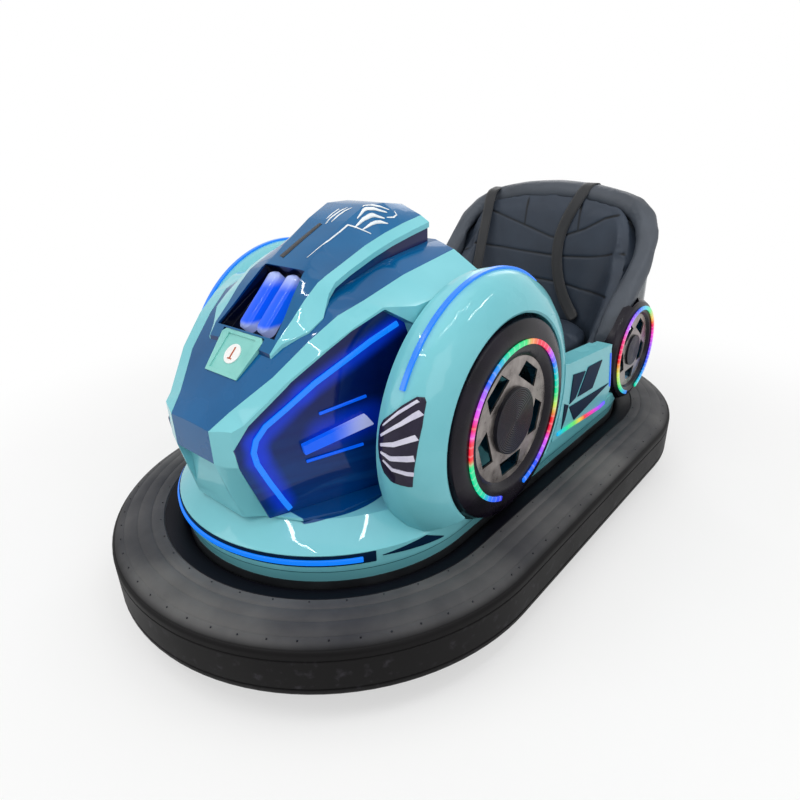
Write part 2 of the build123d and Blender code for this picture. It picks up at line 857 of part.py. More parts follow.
# Lit strip along each fender's crest.
fender_led_span = (54.0, 152.0)
with BuildPart() as fender_led:
    strip_x = fender_inner_x + 58
    strip = [
        (strip_x - led_width / 2, fender_radius - 1),
        (strip_x - led_width / 2, fender_radius + led_rise),
        (strip_x + led_width / 2, fender_radius + led_rise),
        (strip_x + led_width / 2, fender_radius - 1),
    ]
    revolve(
        turned(strip, 1, fender_y, fender_z, fender_led_span[0]),
        axis=wheel_axis(fender_y, fender_z),
        revolution_arc=fender_led_span[1] - fender_led_span[0],
    )
    mirror(about=Plane.YZ)
    for fender in fenders:
        add(fender.part, mode=Mode.SUBTRACT)
fender_led.part.label = "fender_led"

# Show wheels: tyre, spoked rim and hub, as decoration fixed in the wells.
tyre_profile = [
    (well_back_x + 2, show_rim),
    (well_back_x + 2, show_tyre - 10),
    (well_back_x + 12, show_tyre),
    (show_face_x - 28, show_tyre),
    (show_face_x - 10, show_tyre - 8),
    (show_face_x - 2, show_tyre - 24),
    (show_face_x, show_led),
    (show_face_x - 3, show_rim + 10),
    (show_face_x - 12, show_rim),
]
rear_profile = [
    (rear_inner_x, rear_rim),
    (rear_inner_x, rear_tyre - 8),
    (rear_inner_x + 8, rear_tyre),
    (rear_face_x - 22, rear_tyre),
    (rear_face_x - 6, rear_tyre - 10),
    (rear_face_x, rear_tyre - 26),
    (rear_face_x, rear_led),
    (rear_face_x - 4, rear_rim + 6),
    (rear_face_x - 12, rear_rim),
]
with BuildPart() as front_show_tyres:
    revolve(turned(tyre_profile, 1, fender_y, fender_z), axis=wheel_axis(fender_y, fender_z))
    mirror(about=Plane.YZ)
front_show_tyres.part.label = "front_show_tyres"

spokes = 5
window_angle = 55.0
window_depth = 0.7
rim_thick = 28.0


def spoked_rim(y, z, radius, hub, face_x):
    """A dished rim with five windows, its face at face_x."""
    frame = Plane(origin=(face_x - rim_thick, y, z), x_dir=(0, 1, 0), z_dir=(1, 0, 0))
    middle = (radius + hub) / 2
    depth = radius - hub
    with BuildPart() as rim:
        with BuildSketch(frame):
            Circle(radius)
            Circle(hub, mode=Mode.SUBTRACT)
        extrude(amount=rim_thick)
        with BuildSketch(frame):
            Circle(radius - depth * 0.2)
            Circle(hub + depth * 0.15, mode=Mode.SUBTRACT)
        extrude(amount=rim_thick * window_depth, mode=Mode.SUBTRACT)
        with BuildSketch(frame.offset(rim_thick)):
            with PolarLocations(0, spokes, start_angle=window_angle):
                with Locations((middle, 0)):
                    Trapezoid(radius * 0.62, depth * 0.55, 72, rotation=-90)
        extrude(amount=-rim_thick, mode=Mode.SUBTRACT)
        mirror(about=Plane.YZ)
    return rim.part


with BuildPart() as front_show_rims:
    add(spoked_rim(fender_y, fender_z, show_rim, show_hub, show_face_x - 12))
front_show_rims.part.label = "front_show_rims"

# Tub of the seat: a shell with a U plan, open at the front, that widens upward from the ledge.
tub_rows = [
    # height, half-width, rear end, corner radius
    (ledge_z, ledge_radius - 2, end_y + ledge_radius - 2, ledge_radius - 10),
    (tub_full_z, tub_half, tub_rear, tub_corner),
    (tub_top, tub_half, tub_rear, tub_corner),
]


def seat_plan(z, half, rear, corner, front):
    """A U-shaped outline, square at the front and rounded at its two rear corners."""
    diagonal = corner * (1 - cos(radians(45)))
    with BuildSketch(Plane.XY.offset(z)) as plan:
        with BuildLine():
            Line((half, front), (half, rear - corner))
            ThreePointArc((half, rear - corner), (half - diagonal, rear - diagonal), (half - corner, rear))
            Line((half - corner, rear), (corner - half, rear))
            ThreePointArc((corner - half, rear), (diagonal - half, rear - diagonal), (-half, rear - corner))
            Line((-half, rear - corner), (-half, front))
            Line((-half, front), (half, front))
        make_face()
    return plan.sketch


def seat_form(rows, inset, front):
    return [seat_plan(z, half - inset, rear - inset, corner - inset, front) for z, half, rear, corner in rows]


with BuildPart() as tub_blank:
    loft(sections=seat_form(tub_rows, 0, tub_front), ruled=True)

# Padded rim on the tub: a band lofted through upright sections from the left leg round the back to the right.
rim_half = tub_half - rim_inset
rim_corner = tub_corner - rim_inset
low_leg = (tub_front - 23, 462)
rim_legs = [
    # y, top z
    (end_y + 25, 462),
    (end_y + 60, 518),
    (end_y + 110, 575),
    (end_y + 180, 632),
]
rim_bend = [
    # angle round the rear corner, top z
    (0, 684),
    (22.5, 760),
    (45, 808),
    (67.5, 838),
    (90, 854),
]
rim_back = [(130, 878), (0, 887)]
left_stations = [(rim_half, y, z, 0) for y, z in rim_legs]
for angle, z in rim_bend:
    x = rim_half - rim_corner + rim_corner * cos(radians(angle))
    y = tub_rear - tub_corner + rim_corner * sin(radians(angle))
    left_stations.append((x, y, z, angle))
left_stations += [(x, tub_rear - rim_inset, z, 90) for x, z in rim_back]
right_stations = [(-x, y, z, 180 - angle) for x, y, z, angle in left_stations[:-1]]
stations = [*left_stations, *reversed(right_stations)]
low_stations = [(side * rim_half, *low_leg, 90 - side * 90) for side in (1, -1)]
edge = rim_width * 0.22
rim_outline = [
    (edge - rim_width / 2, 0),
    (rim_width / 2 - edge, 0),
    (rim_width / 2, -edge),
    (rim_width / 2, edge - rim_height),
    (rim_width / 2 - edge, -rim_height),
    (edge - rim_width / 2, -rim_height),
    (-rim_width / 2, edge - rim_height),
    (-rim_width / 2, -edge),
]
over_outline = [
    (-rim_width, -rim_height / 2),
    (rim_width, -rim_height / 2),
    (rim_width, tub_top),
    (-rim_width, tub_top),
]


def round_the_rim(outline, stations):
    """The sections of a band with one outline, measured outward and up from the rim's top line."""
    sections = []
    for x, y, z, angle in stations:
        outward = (cos(radians(angle)), sin(radians(angle)), 0)
        along = (sin(radians(angle)), -cos(radians(angle)), 0)
        with BuildSketch(Plane(origin=(x, y, z), x_dir=outward, z_dir=along)) as station:
            with BuildLine():
                Polyline(*outline, close=True)
            make_face()
        sections.append(station.sketch)
    return sections


with BuildPart() as seat_rim:
    loft(sections=round_the_rim(rim_outline, stations), ruled=True)
seat_rim.part.label = "seat_rim"

# The space above the middle of the rim, which the tub and the padding stay below.
with BuildPart() as over_rim:
    loft(sections=round_the_rim(over_outline, [low_stations[0], *stations, low_stations[1]]), ruled=True)
with BuildPart() as seat_tub:
    add(tub_blank.part)
    loft(sections=seat_form(tub_rows, tub_wall, 0), ruled=True, mode=Mode.SUBTRACT)
    add(over_rim.part, mode=Mode.SUBTRACT)
    add(seat_rim.part, mode=Mode.SUBTRACT)
seat_tub.part.label = "seat_tub"

# Padding between the tub's wall and the sitter: sides and a leaning back in one piece.
hollow_rows = [
    # height, half-width, rear end, corner radius
    (ledge_z, cushion_half + 2, cushion_rear + 2, cushion_corner + 2),
    (cushion_top, cushion_half + 5, cushion_rear + 5, cushion_corner + 5),
    (tub_top, rim_half - rim_width / 2, tub_rear - rim_inset - rim_width / 2, rim_corner - rim_width / 2),
]
with BuildPart() as seat_back:
    loft(sections=seat_form(tub_rows, tub_wall + seat_gap, tub_front), ruled=True)
    loft(sections=seat_form(hollow_rows, 0, 0), ruled=True, mode=Mode.SUBTRACT)
    add(over_rim.part, mode=Mode.SUBTRACT)
    add(seat_rim.part, mode=Mode.SUBTRACT)
seat_back.part.label = "seat_back"

with BuildPart() as seat_cushion:
    add(seat_plan(cushion_top - cushion_thick, cushion_half, cushion_rear, cushion_corner, cushion_front))
    extrude(amount=cushion_thick)
    fillet(seat_cushion.faces().sort_by(Axis.Z)[-1].edges(), cushion_round)
seat_cushion.part.label = "seat_cushion"

# Base under the cushion: a front board and a deck over the batteries.
deck_z = cushion_top - cushion_thick
with BuildPart() as seat_base:
    with BuildSketch(Plane.XY.offset(deck_z - base_wall)):
        with Locations((0, end_y)):
            Circle(base_half)
        with Locations((0, (cushion_front + base_wall + end_y) / 2)):
            Rectangle(2 * base_half, end_y - cushion_front - base_wall)
    extrude(amount=base_wall)
    with BuildSketch(Plane.XY.offset(floor_top)):
        with Locations((0, cushion_front + 1.5 * base_wall)):
            Rectangle(2 * base_half, base_wall)
    extrude(amount=deck_z - floor_top)
seat_base.part.label = "seat_base"

# Two belts over the rim and down the back: flat straps with one line seen from the side and one seen from the front.
over_y = tub_rear - rim_inset
belt_side_lines = {
    # y back from the middle of the rim, z, from the anchor behind the tub
    "left": [
        (22, 712),
        (38, 740),
        (50, 800),
        (50, 868),
        (28, 891),
        (-1, 893),
        (-32, 890),
        (-53, 868),
        (-61, 820),
        (-76, 740),
        (-95, 640),
        (-117, 520),
        (-136, 450),
    ],
    "right": [
        (22, 712),
        (38, 740),
        (48, 790),
        (49, 840),
        (28, 865),
        (-3, 867),
        (-36, 862),
        (-58, 842),
        (-78, 800),
        (-108, 720),
        (-152, 600),
        (-206, 450),
    ],
}
belt_front_lines = {
    # x, z from the top of the rim down
    "left": [(120, 910), (110, 868), (96, 820), (56, 740), (47, 640), (86, 520), (156, 440)],
    "right": [(-256, 910), (-247, 800), (-240, 600), (-236, 440)],
}
belts = []
for name, front_line in belt_front_lines.items():
    with BuildPart() as corridor:
        with BuildSketch(Plane.XZ.offset(-over_y)):
            with BuildLine():
                Polyline(*ribbon(front_line, belt_width), close=True)
            make_face()
        extrude(amount=tub_rear)
        with BuildSketch(Plane.XZ.offset(-over_y)):
            with Locations((front_line[0][0], tub_top)):
                Rectangle(belt_width, tub_top)
        extrude(amount=-tub_rear)
    with BuildPart() as belt:
        side_line = [(over_y + back, z) for back, z in belt_side_lines[name]]
        extrude(side_profile(ribbon(side_line, belt_thick)), amount=tub_half, both=True)
        add(corridor.part, mode=Mode.INTERSECT)
    belt.part.label = f"belt_{name}"
    belts.append(belt)

# Sills between the fender and the rear show wheel.
sill_outline = [
    # y, z
    (-20, 299),
    (310, 283),
    (345, 330),
    (318, 462),
    (318, 478),
    (38, 503),
    (-20, 520),
]
sill_wall = 56.0
sills = []
for side, name in sides:
    with BuildPart() as sill:
        extrude(side_profile(sill_outline, side * (fender_face_x - sill_wall)), amount=side * sill_wall, dir=(1, 0, 0))
        with BuildSketch(Plane.YZ.offset(side * well_back_x)):
            with Locations((fender_y, fender_z)):
                Circle(lip_radius - 4)
        extrude(amount=side * skirt_bulge, mode=Mode.SUBTRACT)
        for neighbour in (skirt_blank, fenders[0], fenders[1], seat_rim, tub_blank):
            add(neighbour.part, mode=Mode.SUBTRACT)
    sill.part.label = f"sill_{name}"
    sills.append(sill)

inset_outlines = [
    [(68, 464), (143, 451), (95, 387), (61, 380)],
    [(160, 457), (253, 450), (204, 379), (108, 385)],
    [(31, 392), (55, 380), (40, 340), (24, 318)],
    [(61, 372), (326, 353), (99, 318)],
]
sill_strip = [(0, 314), (90, 309), (190, 300), (270, 294), (306, 297)]
edge_strip = [(337, 338), (313, 452)]
edge_width = 6.0
with BuildPart() as sill_insets:
    for outline in inset_outlines:
        extrude(side_profile(outline, fender_face_x), amount=skin, dir=(1, 0, 0))
    mirror(about=Plane.YZ)
sill_insets.part.label = "sill_insets"
with BuildPart() as sill_led:
    extrude(side_profile(ribbon(sill_strip, led_width - 2), fender_face_x), amount=led_rise, dir=(1, 0, 0))
    extrude(side_profile(ribbon(edge_strip, edge_width), fender_face_x), amount=skin, dir=(1, 0, 0))
    mirror(about=Plane.YZ)
sill_led.part.label = "sill_led"

# Rear show wheels, set against the tub and the skirt, and the hubs of all four.
with BuildPart() as rear_show_tyres:
    revolve(turned(rear_profile, 1, rear_y, rear_z), axis=wheel_axis(rear_y, rear_z))
    mirror(about=Plane.YZ)
    for neighbour in (tub_blank, skirt_blank, seat_rim):
        add(neighbour.part, mode=Mode.SUBTRACT)
rear_show_tyres.part.label = "rear_show_tyres"
with BuildPart() as rear_show_rims:
    add(spoked_rim(rear_y, rear_z, rear_rim, rear_hub, rear_face_x - 12))
    for neighbour in (tub_blank, skirt_blank, seat_rim):
        add(neighbour.part, mode=Mode.SUBTRACT)
rear_show_rims.part.label = "rear_show_rims"

with BuildPart() as show_hubs:
    hubs = [
        # y, z, radius, back, face
        (fender_y, fender_z, show_hub, well_back_x, show_face_x - 2),
        (rear_y, rear_z, rear_hub, ledge_radius - 60, rear_face_x - 6),
    ]
    for y, z, radius, back_x, face_x in hubs:
        with BuildSketch(Plane.YZ.offset(back_x)):
            with Locations((y, z)):
                Circle(radius)
        extrude(amount=face_x - back_x)
    mirror(about=Plane.YZ)
    add(tub_blank.part, mode=Mode.SUBTRACT)
show_hubs.part.label = "show_hubs"

# Lit rings on the show tyres, open at the bottom.
led_start = -76.0
led_arc = 329.0
with BuildPart() as wheel_led:
    for y, z, radius, face_x in ((fender_y, fender_z, show_led, show_face_x), (rear_y, rear_z, rear_led, rear_face_x)):
        ring = [
            (face_x, radius - led_width / 2),
            (face_x + led_rise, radius - led_width / 2),
            (face_x + led_rise, radius + led_width / 2),
            (face_x, radius + led_width / 2),
        ]
        revolve(turned(ring, 1, y, z, led_start), axis=wheel_axis(y, z), revolution_arc=led_arc)
    mirror(about=Plane.YZ)
    for tyre in (front_show_tyres, rear_show_tyres):
        add(tyre.part, mode=Mode.SUBTRACT)
wheel_led.part.label = "wheel_led"



def front_band(profile, half_angle, middle=0.0):
    """A (radius, z) outline carried round the front end's centre, by half_angle to each side of middle from -Y."""
    start = radians(middle - half_angle - 90)
    plane = Plane(origin=(0, -end_y, 0), x_dir=(cos(start), sin(start), 0), z_dir=(sin(start), -cos(start), 0))
    with BuildSketch(plane) as section:
        with BuildLine():
            Polyline(*profile, close=True)
        make_face()
    with BuildPart() as band:
        revolve(section.sketch, axis=Axis((0, -end_y, 0), (0, 0, 1)), revolution_arc=2 * half_angle)
    return band.part


# Navy channel round the skirt's front with the lit strip in it, and a navy wedge behind each of its ends.
channel_low = skirt_led_z - channel_height / 2
channel_high = skirt_led_z + channel_height / 2
channel_section = [
    (skirt_bulge, channel_low),
    (skirt_bulge + skin, channel_low),
    (skirt_bulge + skin, channel_high),
    (skirt_bulge, channel_high),
]
strip_section = [
    (skirt_bulge + skin, skirt_led_z - led_width / 2),
    (skirt_bulge + skin + led_rise, skirt_led_z - led_width / 2),
    (skirt_bulge + skin + led_rise, skirt_led_z + led_width / 2),
    (skirt_bulge + skin, skirt_led_z + led_width / 2),
]
with BuildPart() as skirt_channel:
    add(front_band(channel_section, channel_angle))
skirt_channel.part.label = "skirt_channel"
with BuildPart() as skirt_led:
    add(front_band(strip_section, skirt_led_angle))
skirt_led.part.label = "skirt_led"

wedge_angle = 71.0
wedge_half_angle = 12.0
wedge = [
    # distance round the skirt from the wedge's middle, z
    (-84, 258),
    (70, 246),
    (20, 272),
]
wedge_plane = Plane(
    origin=(0, -end_y, 0),
    x_dir=(cos(radians(wedge_angle)), sin(radians(wedge_angle)), 0),
    z_dir=(sin(radians(wedge_angle)), -cos(radians(wedge_angle)), 0),
)
with BuildPart() as skirt_inserts:
    add(front_band(channel_section, wedge_half_angle, wedge_angle))
    with BuildSketch(wedge_plane):
        with BuildLine():
            Polyline(*wedge, close=True)
        make_face()
    extrude(amount=2 * skirt_bulge, mode=Mode.INTERSECT)
    mirror(about=Plane.YZ)
skirt_inserts.part.label = "skirt_inserts"

# Steering wheel with three spokes on its shaft, and the column that holds the shaft.
tilt = radians(wheel_tilt)
wheel_plane = Plane(origin=(0, wheel_y, wheel_z), x_dir=(1, 0, 0), z_dir=(0, sin(tilt), cos(tilt)))
wheel_hub = 32.0
hub_height = 20.0
spoke_width = 26.0
spoke_thick = 8.0
with BuildPart(wheel_plane) as steering_wheel:
    Torus(wheel_radius, wheel_grip)
    with BuildSketch(wheel_plane.offset(-hub_height)):
        Circle(wheel_hub)
    extrude(amount=2 * hub_height)
    with BuildSketch(wheel_plane.offset(-spoke_thick / 2)):
        with PolarLocations(0, 3, start_angle=90):
            with Locations((wheel_radius / 2, 0)):
                Rectangle(wheel_radius, spoke_width)
    extrude(amount=spoke_thick)
    with BuildSketch(wheel_plane.offset(-hub_height)):
        Circle(steering_shaft)
    extrude(amount=hub_height + 2 - column_start - column_bore)
steering_wheel.part.label = "steering_wheel"

column_long = 600.0
bracket_half = 15.0
bracket_outline = [
    # y, z
    (dash_y, 650),
    (dash_y, 592),
    (-170, 545),
    (-140, 580),
]
with BuildPart() as steering_column:
    with BuildSketch(wheel_plane.offset(-column_start)):
        Circle(column_radius)
    extrude(amount=-column_long)
    extrude(side_profile(bracket_outline), amount=bracket_half, both=True)
    with BuildSketch(wheel_plane.offset(-column_start)):
        Circle(steering_shaft + running_fit)
    extrude(amount=-column_bore, mode=Mode.SUBTRACT)
    with BuildSketch(Plane.XY.offset(floor_top)):
        with Locations((0, (firewall_y + wheel_y) / 2)):
            Rectangle(2 * leg_half, wheel_y - firewall_y)
    extrude(amount=wheel_z - floor_top, mode=Mode.INTERSECT)
steering_column.part.label = "steering_column"

# Pedal under the right foot: a treadle on a narrow foot.
pedal_x = -95.0
pedal_foot = [(-340, floor_top), (-405, floor_top), (-405, 290), (-342, 206)]
pedal_tread = [(-342, 206), (-405, 290), (-400, 294), (-337, 210)]
with BuildPart() as pedal:
    extrude(side_profile(pedal_foot, pedal_x), amount=18, both=True)
    extrude(side_profile(pedal_tread, pedal_x), amount=36, both=True)
pedal.part.label = "pedal"

parts = [ring_tyre, bumper_rim, floor_pan, frame_rails, frame_crossmembers, drive_plate, rear_axle, axle_hangers,
         battery_box, *rollers, drive_fork, drive_motor, drive_hub, drive_tyre, nose_hood, firewall, nose_stripe,
         side_panels, panel_led, panel_blades, number_plate, number_disc, canopy_fins, canopy, intake_bars, *fenders,
         fender_grilles, grille_slats, fender_led, front_show_tyres, rear_show_tyres, front_show_rims, rear_show_rims,
         seat_rim, seat_tub, seat_back, seat_cushion, seat_base, *belts, *sills, sill_insets, sill_led, show_hubs,
         wheel_led, skirt, footwell_wall, skirt_channel, skirt_led, skirt_inserts, steering_wheel, steering_column, pedal]
for piece in parts:
    export_step(piece.part, f"parts/{piece.part.label}.step")
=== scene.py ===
import bmesh
import bpy
from math import cos, hypot, pi, radians, sin
from mathutils import Matrix, Vector
from mathutils.bvhtree import BVHTree
from mathutils.kdtree import KDTree


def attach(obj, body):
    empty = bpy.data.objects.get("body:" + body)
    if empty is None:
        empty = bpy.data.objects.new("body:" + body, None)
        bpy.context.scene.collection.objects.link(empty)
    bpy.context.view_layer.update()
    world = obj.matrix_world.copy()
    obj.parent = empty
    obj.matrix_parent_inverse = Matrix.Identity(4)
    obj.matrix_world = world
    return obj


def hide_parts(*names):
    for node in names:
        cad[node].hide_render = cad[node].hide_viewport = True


# A fairground bumper car: its front faces -Y, its left side is +X, and lengths are in metres.
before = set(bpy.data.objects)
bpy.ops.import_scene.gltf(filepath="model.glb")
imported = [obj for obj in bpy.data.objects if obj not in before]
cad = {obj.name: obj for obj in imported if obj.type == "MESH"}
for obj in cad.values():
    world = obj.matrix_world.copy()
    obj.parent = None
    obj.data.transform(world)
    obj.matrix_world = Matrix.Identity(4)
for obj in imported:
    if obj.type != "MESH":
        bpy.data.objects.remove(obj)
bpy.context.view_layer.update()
scene = bpy.context.scene
scene.view_settings.view_transform = "Standard"

# Camera: a phone held in front of the car's left side, a little above the seat.
image_width = 800
focal_pixels = 599.5
axis_pixel = (401, 401)
camera_place = (1.04303195, -1.33446242, 1.07368547)
camera_right = Vector((0.76038764, 0.64896537, -0.02558484))
camera_up = Vector((-0.25343338, 0.33275555, 0.90832002))
lens_data = bpy.data.cameras.new("camera")
lens_data.sensor_width = 36
lens_data.lens = focal_pixels / image_width * 36
lens_data.shift_x = 0.5 - axis_pixel[0] / image_width
lens_data.shift_y = axis_pixel[1] / image_width - 0.5
camera = bpy.data.objects.new("camera", lens_data)
scene.collection.objects.link(camera)
turn = Matrix((camera_right, camera_up, camera_right.cross(camera_up))).transposed()
camera.matrix_world = Matrix.Translation(camera_place) @ turn.to_4x4()
scene.camera = camera


# ---------------------------------------------------------------- materials
def linear(code):
    """An sRGB hex colour as the linear colour that a node takes."""
    parts = [int(code[i : i + 2], 16) / 255 for i in (1, 3, 5)]
    return (*[c / 12.92 if c <= 0.04045 else ((c + 0.055) / 1.055) ** 2.4 for c in parts], 1.0)


def give(tree, socket, value):
    """Give a socket a value, or a link from an output. A node stands for its first output in use."""
    if isinstance(value, bpy.types.Node):
        value = next(output for output in value.outputs if output.enabled)
    if isinstance(value, bpy.types.NodeSocket):
        tree.links.new(value, socket)
    else:
        socket.default_value = value


def add(owner, kind, sockets=(), **settings):
    """Add a node to a finish or a node tree, with its settings and what its sockets are given.

    sockets holds values, outputs or nodes, in the order of the sockets or else by their names or numbers.
    """
    tree = getattr(owner, "tree", owner)
    node = tree.nodes.new(kind)
    for name, value in settings.items():
        setattr(node, name, value)
    for socket, value in sockets.items() if isinstance(sockets, dict) else enumerate(sockets):
        give(tree, node.inputs[socket], value)
    return node


def set_stops(ramp, stops):
    """Set the stops of a colour ramp, each a position and an sRGB hex colour."""
    elements = ramp.color_ramp.elements
    elements.remove(elements[1])
    elements[0].position = stops[0][0]
    elements[0].color = linear(stops[0][1])
    for position, code in stops[1:]:
        elements.new(position).color = linear(code)


class Finish:
    """A material with its shader, its Object coordinates, and a colour in patches over a fine relief."""

    def __init__(self, name, dark, light, patch, rough, grain, relief, **shader):
        """patch, grain and relief are in millimetres; rough is the lowest and highest roughness."""
        self.material = bpy.data.materials.new(name)
        self.material.use_nodes = True
        self.tree = self.material.node_tree
        self.shader = self.tree.nodes["Principled BSDF"]
        for socket, value in shader.items():
            self.shader.inputs[socket.replace("_", " ")].default_value = value
        self.place = add(self, "ShaderNodeTexCoord").outputs["Object"]
        self.axes = add(self, "ShaderNodeSeparateXYZ", [self.place]).outputs
        patches = add(
            self, "ShaderNodeTexNoise", {"Vector": self.place, "Scale": 1000 / patch, "Detail": 4.0}
        )
        self.colour = add(self, "ShaderNodeValToRGB", [patches])
        set_stops(self.colour, [(0.3, dark), (0.7, light)])
        worn = add(self, "ShaderNodeMapRange", [patches, 0.3, 0.7, *rough])
        grains = add(
            self, "ShaderNodeTexNoise", {"Vector": self.place, "Scale": 1000 / grain, "Detail": 2.0}
        )
        self.bump = add(self, "ShaderNodeBump", {"Height": grains, "Distance": relief / 1000})
        for socket, source in (("Base Color", self.colour), ("Roughness", worn), ("Normal", self.bump)):
            give(self.tree, self.shader.inputs[socket], source)

    def over(self, mask, colour):
        """Lay a second colour, an sRGB hex code or a node, over the first one where the mask is 1."""
        upper = linear(colour) if isinstance(colour, str) else colour
        self.colour = add(self, "ShaderNodeMix", {0: mask, 6: self.colour, 7: upper}, data_type="RGBA")
        give(self.tree, self.shader.inputs["Base Color"], self.colour)

    def shine(self, colour, strength):
        """Let the surface give light of its own."""
        give(self.tree, self.shader.inputs["Emission Color"], colour)
        self.shader.inputs["Emission Strength"].default_value = strength

    def emboss(self, height, depth):
        """Add a second relief, of the given depth in millimetres, under the first one."""
        lower = add(self, "ShaderNodeBump", {"Height": height, "Distance": depth / 1000})
        give(self.tree, self.bump.inputs["Normal"], lower)

    def reach(self, off_a, off_b):
        """How far a point lies from a middle, from its offsets along two axes."""
        squares = [add(self, "ShaderNodeMath", [off, off], operation="MULTIPLY") for off in (off_a, off_b)]
        total = add(self, "ShaderNodeMath", squares, operation="ADD")
        return add(self, "ShaderNodeMath", [total], operation="SQRT")

    def near_line(self, begin, stop, full, none):
        """A mask that is 1 within the distance full of a straight line in the Y Z plane, and 0 past none."""
        run = Vector(stop) - Vector(begin)
        long = run.length
        run /= long
        offs = [
            add(self, "ShaderNodeMath", [self.axes[axis], start], operation="SUBTRACT")
            for axis, start in zip("YZ", begin)
        ]
        shares = [
            add(self, "ShaderNodeMath", [off, part], operation="MULTIPLY") for off, part in zip(offs, run)
        ]
        along = add(self, "ShaderNodeMath", shares, operation="ADD")
        along = add(self, "ShaderNodeMath", [along, 0.0], operation="MAXIMUM")
        along = add(self, "ShaderNodeMath", [along, long], operation="MINIMUM")
        gaps = []
        for off, part in zip(offs, run):
            passed = add(self, "ShaderNodeMath", [along, part], operation="MULTIPLY")
            gaps.append(add(self, "ShaderNodeMath", [off, passed], operation="SUBTRACT"))
        return add(
            self, "ShaderNodeMapRange", [self.reach(*gaps), none, full], interpolation_type="SMOOTHSTEP"
        )


finishes = {}


def finish(name, *look, **shader):
    """Make a finish and keep it under its name, for the pieces that wear it."""
    finishes[name] = Finish(name, *look, **shader)
    return finishes[name]


# Glass-fibre gelcoat, polished and waxed: a clear, wet gloss over a slight orange peel of some 6 mm.
gloss = {"Coat_Weight": 0.5, "Coat_Roughness": 0.025, "Specular_IOR_Level": 0.05}
teal = finish("teal_gelcoat", "#6EBDC7", "#80CCD5", 320, (0.25, 0.32), 9, 0.04, **gloss)
skirt_paint = finish("skirt_gelcoat", "#6EBDC7", "#80CCD5", 320, (0.25, 0.32), 9, 0.04, **gloss)
petrol = finish("petrol_gelcoat", "#004A7C", "#005C94", 240, (0.22, 0.3), 9, 0.04, **gloss)
canopy_paint = finish("canopy_gelcoat", "#004C7C", "#006398", 260, (0.22, 0.3), 9, 0.04, **gloss)
navy = finish("navy_panel", "#00104C", "#001C66", 150, (0.2, 0.28), 9, 0.05, **gloss)
finish("navy_inlay", "#04182F", "#08233F", 90, (0.4, 0.5), 6, 0.04, Specular_IOR_Level=0.05)
finish("plate_gelcoat", "#6FBDB6", "#83CCC3", 60, (0.3, 0.38), 5, 0.04, Coat_Weight=0.4)
finish("tub_gelcoat", "#2C3840", "#4A5A64", 200, (0.2, 0.3), 8, 0.06, **gloss)
finish("inside_gelcoat", "#14191D", "#1F262B", 120, (0.45, 0.6), 4, 0.12)

# Acrylic diffusers, milky and lit from inside by light strips: they show their colour at an even brightness.
blue_light = finish("blue_diffuser", "#021540", "#031C50", 60, (0.25, 0.3), 6, 0.02)
ring_light = finish("colour_diffuser", "#101010", "#181818", 60, (0.25, 0.3), 6, 0.02)
strip_light = finish("strip_diffuser", "#101010", "#181818", 60, (0.25, 0.3), 6, 0.02)
bar_light = finish("bar_diffuser", "#0430A0", "#0640B8", 60, (0.18, 0.24), 6, 0.02, **gloss)
blade_light = finish("blade_diffuser", "#0430A0", "#0640B8", 60, (0.2, 0.26), 6, 0.02, **gloss)

# Enamel and film: the disc and its figure, the grilles' slats and the canopy's decals, and a black film as
# painted shade in the canopy's slot.
finish("white_enamel", "#E8E8E6", "#F4F4F2", 40, (0.25, 0.35), 3, 0.02)
numeral = finish("numeral_paint", "#A84B22", "#B9562A", 12, (0.35, 0.45), 2, 0.02)
finish("slat_paint", "#C9C6DC", "#DEDCEB", 40, (0.25, 0.35), 4, 0.03, Coat_Weight=0.5)
decal = finish("white_decal", "#DDE6EC", "#F2F6F8", 30, (0.3, 0.4), 3, 0.01)
slot_shade_film = finish("slot_painted_shade", "#05060C", "#0B0D16", 40, (0.3, 0.4), 4, 0.03)

# Moulded ABS, black, with a fine spark-eroded texture.
finish("fan_abs", "#171126", "#241C36", 50, (0.22, 0.32), 4, 0.05, **gloss)
hub_black = finish("hub_abs", "#0A0B12", "#161822", 30, (0.3, 0.4), 2, 0.05, Specular_IOR_Level=0.25)
finish("grip_polyurethane", "#101113", "#1B1D20", 30, (0.45, 0.6), 1.6, 0.12)

# Rubber: a tyre filled with air, dulled by dust on top, and solid tyres.
ring_rubber = finish("ring_rubber", "#0B0A0B", "#121112", 240, (0.45, 0.6), 3, 0.12, Specular_IOR_Level=0.1)
finish("show_tyre_gloss", "#08060E", "#150F1C", 90, (0.2, 0.34), 5, 0.05, Specular_IOR_Level=0.2)
finish("solid_tyre_rubber", "#202022", "#2C2C2F", 60, (0.55, 0.7), 2, 0.15)

# Metals: cast and sprayed silver, bright axle steel, painted frame and floor.
silver = finish("cast_silver", "#6E6765", "#A8A19D", 34, (0.24, 0.42), 2, 0.12, Metallic=0.9)
finish("bright_steel", "#8B8F92", "#A9ADB0", 30, (0.25, 0.4), 1.5, 0.03, Metallic=1.0)
finish("frame_enamel", "#191B1E", "#26292C", 80, (0.4, 0.55), 5, 0.1)
finish("floor_enamel", "#1D2124", "#2B3034", 70, (0.45, 0.6), 4, 0.12)
finish("battery_abs", "#161719", "#202124", 60, (0.45, 0.55), 3, 0.1)
finish("motor_enamel", "#3A4046", "#4A5158", 60, (0.35, 0.5), 4, 0.08)
finish("cast_aluminium", "#8F9396", "#B3B7B9", 20, (0.35, 0.55), 2, 0.1, Metallic=1.0)

